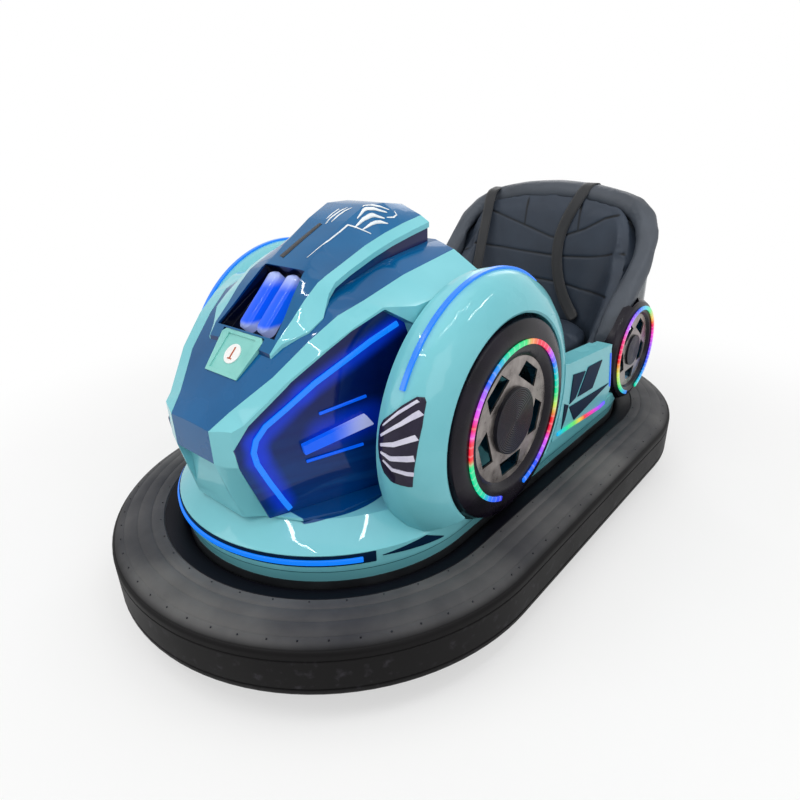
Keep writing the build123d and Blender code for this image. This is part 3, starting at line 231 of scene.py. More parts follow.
# Leatherette over foam, with a pressed grain of some 2 mm, and woven belt webbing.
seat_leather = finish(
    "seat_leatherette", "#28303C", "#363F4C", 180, (0.42, 0.55), 30, 0.1, Specular_IOR_Level=0.3
)
# The rim's leatherette is the seat's, painted lighter for the light from above on its top.
rim_leather_lit = finish(
    "rim_leatherette_lit", "#383D45", "#4C525B", 160, (0.4, 0.54), 30, 0.1, Specular_IOR_Level=0.35
)
webbing = finish("belt_webbing", "#0D0E11", "#191B1F", 40, (0.6, 0.75), 2, 0.05, Sheen_Weight=0.2)

# Leatherette: pressed cells of 2.6 mm, and painted shade in the grooves along the seat's seams.
for leather in (seat_leather, rim_leather_lit):
    cells = add(leather, "ShaderNodeTexVoronoi", {"Scale": 1000 / 2.6, "Vector": leather.place})
    grooves = add(leather, "ShaderNodeMapRange", [cells, 0.0, 0.5], interpolation_type="SMOOTHSTEP")
    leather.emboss(grooves, 0.25)
from_seam = add(seat_leather, "ShaderNodeAttribute", attribute_name="seam").outputs["Fac"]
# Painted shade: the seat is darker within a few millimetres of each seam.
seam_shade = add(
    seat_leather, "ShaderNodeMapRange", [from_seam, 0.0065, 0.0025], interpolation_type="SMOOTHSTEP"
)
seat_leather.over(seam_shade, "#0B0E13")


def upward(painted):
    """How far a face looks up: 1 for a level top, 0 for an upright side, -1 for an underside."""
    facing = add(painted, "ShaderNodeNewGeometry").outputs["Normal"]
    return add(painted, "ShaderNodeSeparateXYZ", [facing]).outputs["Z"]


def where_all(painted, limits):
    """A mask of what lies within all limits. Each is a value, where its mask is 0, and where it is 1."""
    masks = [
        add(painted, "ShaderNodeMapRange", [value, none, full], interpolation_type="SMOOTHSTEP")
        for value, none, full in limits
    ]
    within = masks[0]
    for mask in masks[1:]:
        within = add(painted, "ShaderNodeMath", [within, mask], operation="MULTIPLY")
    return within


# Teal gelcoat gets painted shade, a deeper teal, where it curls under and its faces look down.
for painted in (teal, skirt_paint):
    # Painted shade: faces that look down take the deeper teal.
    under = add(painted, "ShaderNodeMapRange", [upward(painted), 0.1, -0.9], interpolation_type="SMOOTHSTEP")
    painted.over(under, "#3F8E9C")

# Canopy: below its fins the upright sides get painted shade with a purple painted reflection, a dark indigo
# which turns to blue towards the front.
flank_shade = add(
    canopy_paint,
    "ShaderNodeMapRange",
    [upward(canopy_paint), 0.45, 0.2],
    interpolation_type="SMOOTHSTEP",
)
towards_back = add(
    canopy_paint,
    "ShaderNodeMapRange",
    [canopy_paint.axes["Y"], -0.42, -0.3],
    interpolation_type="SMOOTHSTEP",
)
flank_shade_colour = add(
    canopy_paint,
    "ShaderNodeMix",
    {0: towards_back, 6: linear("#00356A"), 7: linear("#1A2050")},
    data_type="RGBA",
)
# Painted shade: the upright flanks take the indigo and blue.
canopy_paint.over(flank_shade, flank_shade_colour)

# Intake: its recess, cut into the nose and the canopy, is painted a very dark navy.
intake_low = (-0.632, 0.686)  # Y and Z of the middle of its lower edge
intake_slope = (0.725, 0.689)  # the way up along its face
intake_half = 0.1  # half its width at the lower edge
intake_taper = -0.19  # and how fast that narrows
intake_long = 0.172
intake_deep = 0.05
for painted in (petrol, canopy_paint):
    behind = add(painted, "ShaderNodeMath", [painted.axes["Y"], intake_low[0]], operation="SUBTRACT")
    above_low = add(painted, "ShaderNodeMath", [painted.axes["Z"], intake_low[1]], operation="SUBTRACT")
    depth_below = add(
        painted,
        "ShaderNodeMath",
        [
            add(painted, "ShaderNodeMath", [behind, -intake_slope[1]], operation="MULTIPLY"),
            add(painted, "ShaderNodeMath", [above_low, intake_slope[0]], operation="MULTIPLY"),
        ],
        operation="ADD",
    )
    up_slope = add(
        painted,
        "ShaderNodeMath",
        [
            add(painted, "ShaderNodeMath", [behind, intake_slope[0]], operation="MULTIPLY"),
            add(painted, "ShaderNodeMath", [above_low, intake_slope[1]], operation="MULTIPLY"),
        ],
        operation="ADD",
    )
    half_width = add(
        painted, "ShaderNodeMath", [up_slope, intake_taper, intake_half], operation="MULTIPLY_ADD"
    )
    off_middle = add(painted, "ShaderNodeMath", [painted.axes["X"]], operation="ABSOLUTE")
    outside = add(painted, "ShaderNodeMath", [off_middle, half_width], operation="SUBTRACT")
    recess = [
        (depth_below, 0.0, -0.003),
        (depth_below, -intake_deep - 0.01, -intake_deep),
        (outside, 0.003, 0.001),
        (up_slope, -0.01, -0.006),
        (up_slope, intake_long + 0.004, intake_long),
    ]
    painted.over(where_all(painted, recess), "#04091E")

# Skirt: below the side panels a ledge is painted in their blue, and a fine parting line runs under the strip.
ledge_centre = (0.0573, -0.5372)
ledge_radius = 0.205
ledge_front = -0.15
ledge_heights = (0.304, 0.4)
parting_height = 0.229
off_middle = add(skirt_paint, "ShaderNodeMath", [skirt_paint.axes["X"]], operation="ABSOLUTE")
off_x = add(skirt_paint, "ShaderNodeMath", [off_middle, ledge_centre[0]], operation="SUBTRACT")
off_y = add(skirt_paint, "ShaderNodeMath", [skirt_paint.axes["Y"], ledge_centre[1]], operation="SUBTRACT")
ledge = [
    (skirt_paint.reach(off_x, off_y), ledge_radius + 0.002, ledge_radius),
    (off_y, ledge_front - 0.003, ledge_front),
    (skirt_paint.axes["Z"], ledge_heights[0] - 0.004, ledge_heights[0]),
    (skirt_paint.axes["Z"], ledge_heights[1] + 0.01, ledge_heights[1]),
]
skirt_paint.over(where_all(skirt_paint, ledge), "#00427E")
above_parting = add(
    skirt_paint, "ShaderNodeMath", [skirt_paint.axes["Z"], parting_height], operation="SUBTRACT"
)
from_parting = add(skirt_paint, "ShaderNodeMath", [above_parting], operation="ABSOLUTE")
parting = add(
    skirt_paint, "ShaderNodeMapRange", [from_parting, 0.0013, 0.0007], interpolation_type="SMOOTHSTEP"
)
skirt_paint.over(parting, "#1A4650")

# Side panels: deep navy, lit blue beside the strip and round the blade, and paler in streaks along the foot.
stretched = add(
    navy,
    "ShaderNodeMapping",
    {"Scale": (0.12, 0.12, 1.4), "Rotation": (0.2, 0.0, 0.0), 0: navy.place},
)
streaks = add(
    navy,
    "ShaderNodeTexNoise",
    {"Scale": 1000 / 30, "Detail": 2.0, "Vector": stretched.outputs[0]},
)
streak = add(
    navy,
    "ShaderNodeMapRange",
    [streaks.outputs["Fac"], 0.36, 0.62],
    interpolation_type="SMOOTHSTEP",
)
low_part = add(navy, "ShaderNodeMapRange", [navy.axes["Z"], 0.6, 0.36], interpolation_type="SMOOTHSTEP")
streaky = add(navy, "ShaderNodeMath", [streak, 0.45, 0.5], operation="MULTIPLY_ADD")
low_streaks = add(navy, "ShaderNodeMath", [low_part, streaky], operation="MULTIPLY")
navy.over(low_streaks, "#003C80")
blade_line = ((-0.6, 0.49), (-0.5, 0.5))
blade_halo = add(
    navy,
    "ShaderNodeMath",
    [navy.near_line(*blade_line, 0.012, 0.06), 0.9],
    operation="MULTIPLY",
)
navy.over(blade_halo, "#0034C8")
strip_line = [(-0.43, 0.703), (-0.637, 0.592), (-0.738, 0.512), (-0.738, 0.474), (-0.7, 0.358)]
for begin, stop in zip(strip_line, strip_line[1:]):
    beside = navy.near_line(begin, stop, 0.006, 0.034)
    navy.over(add(navy, "ShaderNodeMath", [beside, 0.75], operation="MULTIPLY"), "#0A3CE0")

# Blue strips give their own light at the level of their colour.
blue_light.shine(linear("#0A7EF8"), 1.0)

# Light rings: colours run round the wheel, with a bright bead at each lamp.
front_wheel = (-0.24, 0.452)  # Y and Z of its middle
rear_wheel = (0.546, 0.391)
between_wheels = 0.25
ring_opening = radians(-107)
lamps_round = 58
front_colours = [
    # share of a turn from the opening at the bottom, and colour
    (0.0, "#3038F0"),
    (0.05, "#1870FF"),
    (0.085, "#00D8A8"),
    (0.175, "#00E08C"),
    (0.19, "#F00818"),
    (0.225, "#F02848"),
    (0.235, "#F050D8"),
    (0.25, "#F00828"),
    (0.275, "#E850F0"),
    (0.315, "#A060FF"),
    (0.33, "#0858F8"),
    (0.365, "#0090F0"),
    (0.4, "#00D8A0"),
    (0.465, "#20E078"),
    (0.485, "#F0A050"),
    (0.515, "#F00830"),
    (0.56, "#F02060"),
    (0.585, "#C050F8"),
    (0.615, "#2060F8"),
    (0.65, "#00C8C8"),
    (0.7, "#10E080"),
    (0.725, "#C8E860"),
    (0.752, "#F01010"),
    (0.785, "#F01850"),
    (0.8, "#E850F0"),
    (0.835, "#9050FF"),
    (0.86, "#1850F8"),
    (0.92, "#2080FF"),
]
rear_colours = [
    (0.0, "#1070F0"),
    (0.04, "#00A8E0"),
    (0.09, "#20E078"),
    (0.16, "#D0E050"),
    (0.21, "#F01020"),
    (0.28, "#F02080"),
    (0.33, "#C050F8"),
    (0.42, "#3050F8"),
    (0.48, "#00C0E0"),
    (0.54, "#40E080"),
    (0.6, "#F0C050"),
    (0.63, "#F00820"),
    (0.68, "#F040D0"),
    (0.74, "#8050FF"),
    (0.8, "#1060F8"),
    (0.87, "#00B0E8"),
    (0.92, "#00E0A0"),
]


def round_wheel(painted):
    """A mask of the rear wheels, and how far a point lies behind and above the middle of its own wheel."""
    rear = add(painted, "ShaderNodeMath", [painted.axes["Y"], between_wheels], operation="GREATER_THAN")
    offsets = []
    for axis, (front_middle, rear_middle) in zip("YZ", zip(front_wheel, rear_wheel)):
        middle = add(
            painted,
            "ShaderNodeMath",
            [rear, rear_middle - front_middle, front_middle],
            operation="MULTIPLY_ADD",
        )
        offsets.append(add(painted, "ShaderNodeMath", [painted.axes[axis], middle], operation="SUBTRACT"))
    return rear, *offsets


at_rear, ahead, above = round_wheel(ring_light)
round_angle = add(ring_light, "ShaderNodeMath", [above, ahead], operation="ARCTAN2")
turned = add(
    ring_light,
    "ShaderNodeMath",
    [round_angle, -1 / (2 * pi), ring_opening / (2 * pi)],
    operation="MULTIPLY_ADD",
)
share = add(ring_light, "ShaderNodeMath", [turned], operation="FRACT")
ring_ramps = []
for colours in (front_colours, rear_colours):
    ring_ramps.append(add(ring_light, "ShaderNodeValToRGB", {"Fac": share}))
    set_stops(ring_ramps[-1], colours)
ring_colour = add(
    ring_light,
    "ShaderNodeMix",
    {0: at_rear, 6: ring_ramps[0], 7: ring_ramps[1]},
    data_type="RGBA",
)
lamp_phase = add(ring_light, "ShaderNodeMath", [round_angle, lamps_round], operation="MULTIPLY")
bead = add(ring_light, "ShaderNodeMath", [lamp_phase], operation="SINE")
bead = add(ring_light, "ShaderNodeMapRange", [bead, 0.5, 1.0], interpolation_type="SMOOTHSTEP")
bead = add(ring_light, "ShaderNodeMath", [bead, 0.14], operation="MULTIPLY")
beads = add(
    ring_light, "ShaderNodeMix", {0: bead, 6: ring_colour, 7: linear("#FFFFFF")}, data_type="RGBA"
)
ring_light.shine(beads, 1.0)

# Sill strips: colours run from the front wheel to the rear one.
strip_span = (0.0, 0.33)
along_sill = add(
    strip_light,
    "ShaderNodeMapRange",
    {"From Min": strip_span[0], "From Max": strip_span[1], "Value": strip_light.axes["Y"]},
)
strip_colours = [
    (0.0, "#00B8F0"),
    (0.16, "#00E0A0"),
    (0.3, "#70E060"),
    (0.4, "#F0D040"),
    (0.5, "#F02830"),
    (0.64, "#F030B0"),
    (0.8, "#A048FF"),
    (0.95, "#2868FF"),
]
strip_ramp = add(strip_light, "ShaderNodeValToRGB", {"Fac": along_sill.outputs["Result"]})
set_stops(strip_ramp, strip_colours)
strip_light.shine(strip_ramp, 1.0)

# Intake bars: bright blue rods that pale to lavender at their upper and lower ends.
bar_height = bar_light.axes["Z"]
pale_ends = [
    add(bar_light, "ShaderNodeMapRange", [bar_height, none, full], interpolation_type="SMOOTHSTEP")
    for none, full in ((0.757, 0.785), (0.702, 0.69))
]
pale_end = add(bar_light, "ShaderNodeMath", pale_ends, operation="MAXIMUM")
bar_light.over(pale_end, "#8E9CC8")
bar_glow = add(
    bar_light,
    "ShaderNodeMix",
    {6: linear("#0C62FF"), 7: linear("#7F8CC0"), 0: pale_end},
    data_type="RGBA",
)
bar_light.shine(bar_glow, 0.6)

# Blades: bright blue, and the wide one fades to pale lavender at its rear end.
blade_rear = add(
    blade_light,
    "ShaderNodeMapRange",
    [blade_light.axes["Y"], -0.6, -0.515],
    interpolation_type="SMOOTHSTEP",
)
wide_blade = blade_light.near_line((-0.66, 0.47), (-0.5, 0.505), 0.03, 0.034)
fade = add(blade_light, "ShaderNodeMath", [blade_rear, wide_blade], operation="MULTIPLY")
blade_light.over(fade, "#A4AAD0")
blade_glow = add(
    blade_light,
    "ShaderNodeMix",
    {6: linear("#0068FF"), 7: linear("#A0A6D0"), 0: fade},
    data_type="RGBA",
)
blade_light.shine(blade_glow, 0.6)

# Bumper rubber: grey dust lies in clouds on the crown, the part by the body is darker, partly its own bead
# rubber and partly painted shade under the skirt's overhang, and the side is scuffed.
height = ring_rubber.axes["Z"]
crown = where_all(ring_rubber, [(height, 0.186, 0.2)])
cloud = add(
    ring_rubber, "ShaderNodeTexNoise", {"Scale": 1000 / 260, "Detail": 9.0, "Vector": ring_rubber.place}
)
dusty = where_all(ring_rubber, [(height, 0.186, 0.2), (cloud, 0.2, 0.95)])
body_side_shade = add(ring_rubber, "ShaderNodeAttribute", attribute_name="inner").outputs["Fac"]
dust = add(
    ring_rubber,
    "ShaderNodeMath",
    [dusty, add(ring_rubber, "ShaderNodeMath", [0.85, body_side_shade], operation="SUBTRACT")],
    operation="MULTIPLY",
)
ring_rubber.over(add(ring_rubber, "ShaderNodeMath", [crown, 0.85], operation="MULTIPLY"), "#35363B")
ring_rubber.over(dust, "#7B7A78")
# Painted shade under the skirt's overhang, over the darker bead rubber.
ring_rubber.over(body_side_shade, "#0A0A12")
scuffs = add(
    ring_rubber, "ShaderNodeTexNoise", {"Scale": 1000 / 24, "Detail": 8.0, "Vector": ring_rubber.place}
)
scuffed = where_all(ring_rubber, [(height, 0.18, 0.15), (scuffs, 0.55, 0.8)])
ring_rubber.over(scuffed, "#2E2C31")

# Hub caps: fine turned ribs round their middle, drawn 5 mm apart so that they show.
hub_off = round_wheel(hub_black)[1:]
rib_phase = add(
    hub_black,
    "ShaderNodeMath",
    [hub_black.reach(*hub_off), 2 * pi / 0.005],
    operation="MULTIPLY",
)
hub_black.emboss(add(hub_black, "ShaderNodeMath", [rib_phase], operation="SINE"), 0.6)

# Show rims: inside their windows the casting is painted petrol, and the spokes' faces are polished bright.
front_face = 0.424
rear_face = 0.404
rim_side = add(silver, "ShaderNodeMath", [silver.axes["X"]], operation="ABSOLUTE")
rim_at_rear = add(silver, "ShaderNodeMath", [silver.axes["Y"], between_wheels], operation="GREATER_THAN")
rim_face = add(
    silver,
    "ShaderNodeMath",
    [rim_at_rear, rear_face - front_face, front_face],
    operation="MULTIPLY_ADD",
)
sunk = add(
    silver,
    "ShaderNodeMapRange",
    [add(silver, "ShaderNodeMath", [rim_face, rim_side], operation="SUBTRACT"), 0.003, 0.006],
    interpolation_type="SMOOTHSTEP",
)
silver.over(sunk, "#0A4A62")

# Which finish each CAD node wears.
worn_by = {
    "teal_gelcoat": ("canopy_fins", "fender_left", "fender_right", "sill_left", "sill_right"),
    "skirt_gelcoat": ("skirt", "nose_stripe"),
    "petrol_gelcoat": ("nose_hood",),
    "canopy_gelcoat": ("canopy",),
    "navy_panel": ("side_panels",),
    "navy_inlay": ("skirt_channel", "skirt_inserts", "sill_insets"),
    "plate_gelcoat": ("number_plate",),
    "white_enamel": ("number_disc",),
    "bar_diffuser": ("intake_bars",),
    "blade_diffuser": ("panel_blades",),
    "blue_diffuser": ("panel_led", "fender_led", "skirt_led"),
    "colour_diffuser": ("wheel_led",),
    "strip_diffuser": ("sill_led",),
    "fan_abs": ("fender_grilles",),
    "slat_paint": ("grille_slats",),
    "show_tyre_gloss": ("front_show_tyres", "rear_show_tyres"),
    "cast_silver": ("front_show_rims", "rear_show_rims"),
    "hub_abs": ("show_hubs",),
    "tub_gelcoat": ("seat_tub",),
    "inside_gelcoat": ("footwell_wall", "firewall", "seat_base"),
    "grip_polyurethane": ("steering_wheel",),
    "bright_steel": ("rear_axle",),
    "frame_enamel": (
        "frame_rails",
        "frame_crossmembers",
        "drive_plate",
        "axle_hangers",
        "drive_fork",
        "bumper_rim",
        "steering_column",
    ),
    "floor_enamel": ("floor_pan", "pedal"),
    "battery_abs": ("battery_box",),
    "motor_enamel": ("drive_motor",),
    "solid_tyre_rubber": ("drive_tyre", "rear_roller_tyre_left", "rear_roller_tyre_right"),
    "cast_aluminium": ("drive_hub", "rear_roller_hub_left", "rear_roller_hub_right"),
}
for finish_name, node_names in worn_by.items():
    for node_name in node_names:
        mesh = cad[node_name].data
        mesh.materials.clear()
        mesh.materials.append(finishes[finish_name].material)


# ---------------------------------------------------------------- making pieces
def piece(name, bm, worn, body="car", smooth=40):
    """A new piece from a finished bmesh, in one finish and riding on one body."""
    bmesh.ops.remove_doubles(bm, verts=bm.verts, dist=1e-5)
    bmesh.ops.recalc_face_normals(bm, faces=bm.faces)
    mesh = bpy.data.meshes.new(name)
    bm.to_mesh(mesh)
    bm.free()
    mesh.materials.append(worn.material)
    mesh.shade_smooth()
    mesh.set_sharp_from_angle(angle=radians(smooth))
    made = bpy.data.objects.new(name, mesh)
    scene.collection.objects.link(made)
    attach(made, body)
    return made


def baked(made):
    """Apply all modifiers of a piece."""
    mesh = bpy.data.meshes.new_from_object(made.evaluated_get(bpy.context.evaluated_depsgraph_get()))
    old = made.data
    made.modifiers.clear()
    made.data = mesh
    bpy.data.meshes.remove(old)


def surface_of(*node_names):
    """A search tree of the triangles of CAD nodes."""
    bm = bmesh.new()
    for name in node_names:
        bm.from_mesh(cad[name].data)
    return BVHTree.FromBMesh(bm)


# Curved skins shade smoothly, and an edge sharper than the given angle stays crisp.
smoother = bpy.data.node_groups.new("Smooth by angle", "GeometryNodeTree")
for direction in ("INPUT", "OUTPUT"):
    smoother.interface.new_socket("Geometry", in_out=direction, socket_type="NodeSocketGeometry")
angle_socket = smoother.interface.new_socket("Angle", in_out="INPUT", socket_type="NodeSocketFloat")
arriving = add(smoother, "NodeGroupInput")
between = add(smoother, "GeometryNodeInputMeshEdgeAngle")
crisp = add(
    smoother,
    "FunctionNodeCompare",
    {0: between.outputs[0], 1: arriving.outputs[1]},
    operation="GREATER_THAN",
)
rounded = add(smoother, "GeometryNodeSetShadeSmooth", {"Geometry": arriving.outputs[0]}, domain="FACE")
creased = add(
    smoother,
    "GeometryNodeSetShadeSmooth",
    {"Shade Smooth": False, "Geometry": rounded.outputs[0], "Selection": crisp.outputs[0]},
    domain="EDGE",
)
add(smoother, "NodeGroupOutput", {0: creased.outputs[0]})

# Soften the CAD nodes' edges, as gelcoat and castings have them, with a small bevel.
edge_radii = {
    3.0: ("fender_left", "fender_right", "skirt", "sill_left", "sill_right", "seat_tub"),
    1.2: ("nose_stripe", "nose_hood", "canopy"),
    2.0: ("canopy_fins", "front_show_rims", "rear_show_rims", "show_hubs", "number_plate", "panel_blades"),
    1.0: ("side_panels", "grille_slats", "sill_insets", "skirt_inserts", "skirt_channel"),
    1.5: ("panel_led", "fender_led", "skirt_led", "sill_led", "wheel_led"),
}
crease_of = {"intake_bars": 60, "canopy": 48, "nose_hood": 48, "nose_stripe": 48, "canopy_fins": 48}
radius_of = {node_name: radius for radius, node_names in edge_radii.items() for node_name in node_names}
for node_names in worn_by.values():
    for node_name in node_names:
        softened = cad[node_name]
        weld = softened.modifiers.new("Weld", "WELD")
        weld.merge_threshold = 5e-5
        if node_name in radius_of:
            bevel = softened.modifiers.new("Bevel", "BEVEL")
            bevel.width = radius_of[node_name] / 1000
            bevel.segments = 2
            bevel.limit_method = "ANGLE"
            bevel.angle_limit = radians(34)
            bevel.use_clamp_overlap = True
        smooth = softened.modifiers.new("Smooth", "NODES")
        smooth.node_group = smoother
        smooth[angle_socket.identifier] = radians(crease_of.get(node_name, 36))
        weighted = softened.modifiers.new("Weighted", "WEIGHTED_NORMAL")
        weighted.keep_sharp = True

# ---------------------------------------------------------------- bumper ring
end_y = 0.4
ring_profile = [
    # distance from an end's centre, height; from the inner foot over the crown to the outer foot and back
    (0.395, 0.082),
    (0.395, 0.170),
    (0.399, 0.182),
    (0.410, 0.190),
    (0.425, 0.196),
    (0.440, 0.2005),
    (0.4485, 0.2025),
    (0.4505, 0.2005),
    (0.453, 0.2045),
    (0.466, 0.2068),
    (0.4795, 0.2078),
    (0.481, 0.2068),
    (0.4825, 0.208),
    (0.497, 0.208),
    (0.5115, 0.2074),
    (0.513, 0.2062),
    (0.5145, 0.2068),
    (0.530, 0.2045),
    (0.5435, 0.201),
    (0.545, 0.1994),
    (0.5465, 0.1996),
    (0.558, 0.1955),
    (0.5665, 0.1905),
    (0.568, 0.188),
    (0.5705, 0.1876),
    (0.5742, 0.1835),
    (0.575, 0.179),
    (0.575, 0.170),
    (0.5728, 0.1685),
    (0.5728, 0.166),
    (0.575, 0.1645),
    (0.575, 0.0965),
    (0.5728, 0.095),
    (0.5728, 0.0925),
    (0.575, 0.091),
    (0.575, 0.084),
    (0.5725, 0.0785),
    (0.569, 0.076),
    (0.545, 0.0625),
    (0.515, 0.0535),
    (0.485, 0.0502),
    (0.455, 0.053),
    (0.425, 0.0625),
    (0.402, 0.0755),
]
turns = 28
bm = bmesh.new()
section = [bm.verts.new((x, 0, z)) for x, z in ring_profile]
loop = [bm.edges.new((a, b)) for a, b in zip(section, section[1:] + section[:1])]
swept = bmesh.ops.extrude_edge_only(bm, edges=loop)["geom"]
far = [v for v in swept if isinstance(v, bmesh.types.BMVert)]
bmesh.ops.translate(bm, verts=far, vec=(0, end_y, 0))
far_loop = [e for e in swept if isinstance(e, bmesh.types.BMEdge) and all(v in far for v in e.verts)]
bmesh.ops.spin(
    bm, geom=far + far_loop, cent=(0, end_y, 0), axis=(0, 0, 1), dvec=(0, 0, 0), angle=pi / 2, steps=turns
)
for axis in ("X", "Y"):
    bmesh.ops.mirror(
        bm,
        geom=bm.verts[:] + bm.edges[:] + bm.faces[:],
        matrix=Matrix(),
        merge_dist=1e-5,
        axis=axis,
    )
ring_cover = piece("bumper_tyre", bm, ring_rubber)
# Marks the inner band by the body, which takes painted shade from the skirt above it.
inner_shade_mark = ring_cover.data.attributes.new("inner", "FLOAT", "POINT")
inner_edge = 0.4495
for vertex in ring_cover.data.vertices:
    x, y, z = vertex.co
    inner_shade_mark.data[vertex.index].value = float(hypot(x, max(abs(y) - end_y, 0.0)) < inner_edge and z > 0.1)
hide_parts("ring_tyre")

# Vent pips left by the tyre's mould, in two rows round the crown.
pip_rows = [
    # distance from an end's centre, height, spacing
    (0.4595, 0.2055, 0.075),
    (0.5525, 0.1975, 0.06),
]
pip_places = []
for reach, height, spacing in pip_rows:
    for side in (-1, 1):
        along = -end_y
        while along < end_y:
            pip_places.append((side * reach, along, height))
            along += spacing
    count = round(pi * reach / spacing)
    for end in (-1, 1):
        for i in range(count):
            angle = pi * (i + 0.5) / count
            pip_places.append((reach * cos(angle), end * (end_y + reach * sin(angle)), height))
bm = bmesh.new()
for place in pip_places:
    at = Matrix.Translation(place)
    bmesh.ops.create_cone(
        bm,
        cap_ends=True,
        segments=8,
        radius1=0.0024,
        radius2=0.0016,
        depth=0.003,
        matrix=at,
    )
pips = piece("tyre_vent_pips", bm, hub_black)


# ---------------------------------------------------------------- seat
def skin_of(made):
    """A search tree of the triangles of a piece."""
    bm = bmesh.new()
    bm.from_mesh(made.data)
    return BVHTree.FromBMesh(bm)


def padded_from(node_name, name, worn, voxel, shrink, pressure, cap):
    """A stuffed piece: its CAD solid, shrunk a little and blown up again as foam fills its cover."""
    bm = bmesh.new()
    bm.from_mesh(cad[node_name].data)
    made = piece(name, bm, worn, smooth=60)
    remesh = made.modifiers.new("Remesh", "REMESH")
    remesh.mode = "VOXEL"
    remesh.voxel_size = voxel
    baked(made)
    smoothing = made.modifiers.new("Smooth", "SMOOTH")
    smoothing.factor = 0.5
    smoothing.iterations = 6
    baked(made)
    outward = [vertex.normal.copy() for vertex in made.data.vertices]
    for vertex, normal in zip(made.data.vertices, outward):
        vertex.co -= normal * shrink
    start = [vertex.co.copy() for vertex in made.data.vertices]
    cloth = made.modifiers.new("Cloth", "CLOTH")
    cloth.settings.use_pressure = True
    cloth.settings.uniform_pressure_force = pressure
    cloth.settings.effector_weights.gravity = 0.0
    cloth.settings.tension_stiffness = 20
    cloth.settings.quality = 4
    for moment in range(1, 21):
        scene.frame_set(moment)
    baked(made)
    scene.frame_set(1)
    for vertex, before in zip(made.data.vertices, start):
        moved = vertex.co - before
        if moved.length > cap:
            vertex.co = before + moved * (cap / moved.length)
    finer = made.modifiers.new("Subdivision", "SUBSURF")
    finer.levels = 1
    finer.render_levels = 1
    baked(made)
    made.data.materials.clear()
    made.data.materials.append(worn.material)
    made.data.shade_smooth()
    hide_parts(node_name)
    return made


def sew(made, seams, width, depth):
    """Pull a padded piece in along its seams, each a line of points, and mark them for its colour."""
    spacing = 0.0015
    stitches = []
    for line in seams:
        for begin, stop in zip(line, line[1:]):
            count = max(1, round((stop - begin).length / spacing))
            stitches += [begin.lerp(stop, i / count) for i in range(count + 1)]
    tree = KDTree(len(stitches))
    for i, stitch in enumerate(stitches):
        tree.insert(stitch, i)
    tree.balance()
    marks = made.data.attributes.new("seam", "FLOAT", "POINT")
    normals = [vertex.normal.copy() for vertex in made.data.vertices]
    for vertex, normal in zip(made.data.vertices, normals):
        near = tree.find(vertex.co)[2]
        if near < width:
            vertex.co -= normal * depth * (1 - near / width) ** 2
        marks.data[vertex.index].value = near


seat_back = padded_from(
    "seat_back",
    "seat_back_pad",
    seat_leather,
    0.008,
    0.003,
    4.0,
    0.006,
)
cushion = padded_from(
    "seat_cushion",
    "seat_cushion_pad",
    seat_leather,
    0.007,
    0.006,
    4.0,
    0.014,
)
rim = padded_from("seat_rim", "seat_rim_pad", rim_leather_lit, 0.007, 0.004, 4.0, 0.008)

back_seams = [
    # the wide V, the two seams below it, and the short ones above it
    [
        (-0.262, 0.686, 0.795),
        (-0.248, 0.687, 0.776),
        (-0.161, 0.692, 0.749),
        (-0.073, 0.688, 0.724),
        (0.015, 0.684, 0.698),
        (0.040, 0.683, 0.695),
        (0.139, 0.689, 0.733),
        (0.203, 0.695, 0.771),
        (0.262, 0.680, 0.795),
    ],
    [
        (-0.338, 0.560, 0.668),
        (-0.259, 0.643, 0.655),
        (-0.101, 0.674, 0.640),
        (0.055, 0.673, 0.634),
        (0.173, 0.674, 0.643),
        (0.307, 0.647, 0.672),
        (0.345, 0.560, 0.690),
    ],
    [
        (-0.330, 0.480, 0.572),
        (-0.220, 0.620, 0.558),
        (-0.090, 0.655, 0.552),
        (0.080, 0.659, 0.545),
        (0.158, 0.655, 0.533),
        (0.302, 0.527, 0.551),
        (0.335, 0.440, 0.560),
    ],
    [(-0.095, 0.705, 0.860), (-0.095, 0.698, 0.800), (-0.095, 0.689, 0.730)],
    [(0.110, 0.705, 0.860), (0.112, 0.698, 0.800), (0.114, 0.689, 0.724)],
]
back_surface = surface_of("seat_back")


def on_back(line):
    """A line of points laid on the seat back's surface, close enough together to follow its curve."""
    laid = []
    for begin, stop in zip(line, line[1:]):
        count = max(1, round((Vector(stop) - Vector(begin)).length / 0.01))
        spots = [Vector(begin).lerp(Vector(stop), i / count) for i in range(count + 1)]
        laid += [back_surface.find_nearest(spot)[0] for spot in spots]
    return laid


seam_width = 0.009
seam_depth = 0.0045
sew(seat_back, [on_back(line) for line in back_seams], seam_width, seam_depth)
cushion_seams = [
    [Vector(point) for point in line]
    for line in (
        [(-0.15, 0.165, 0.43), (-0.17, 0.45, 0.43), (-0.1, 0.6, 0.43), (0, 0.62, 0.43)],
        [(0.15, 0.165, 0.43), (0.17, 0.45, 0.43), (0.1, 0.6, 0.43), (0, 0.62, 0.43)],
    )
]
sew(cushion, cushion_seams, seam_width, seam_depth)

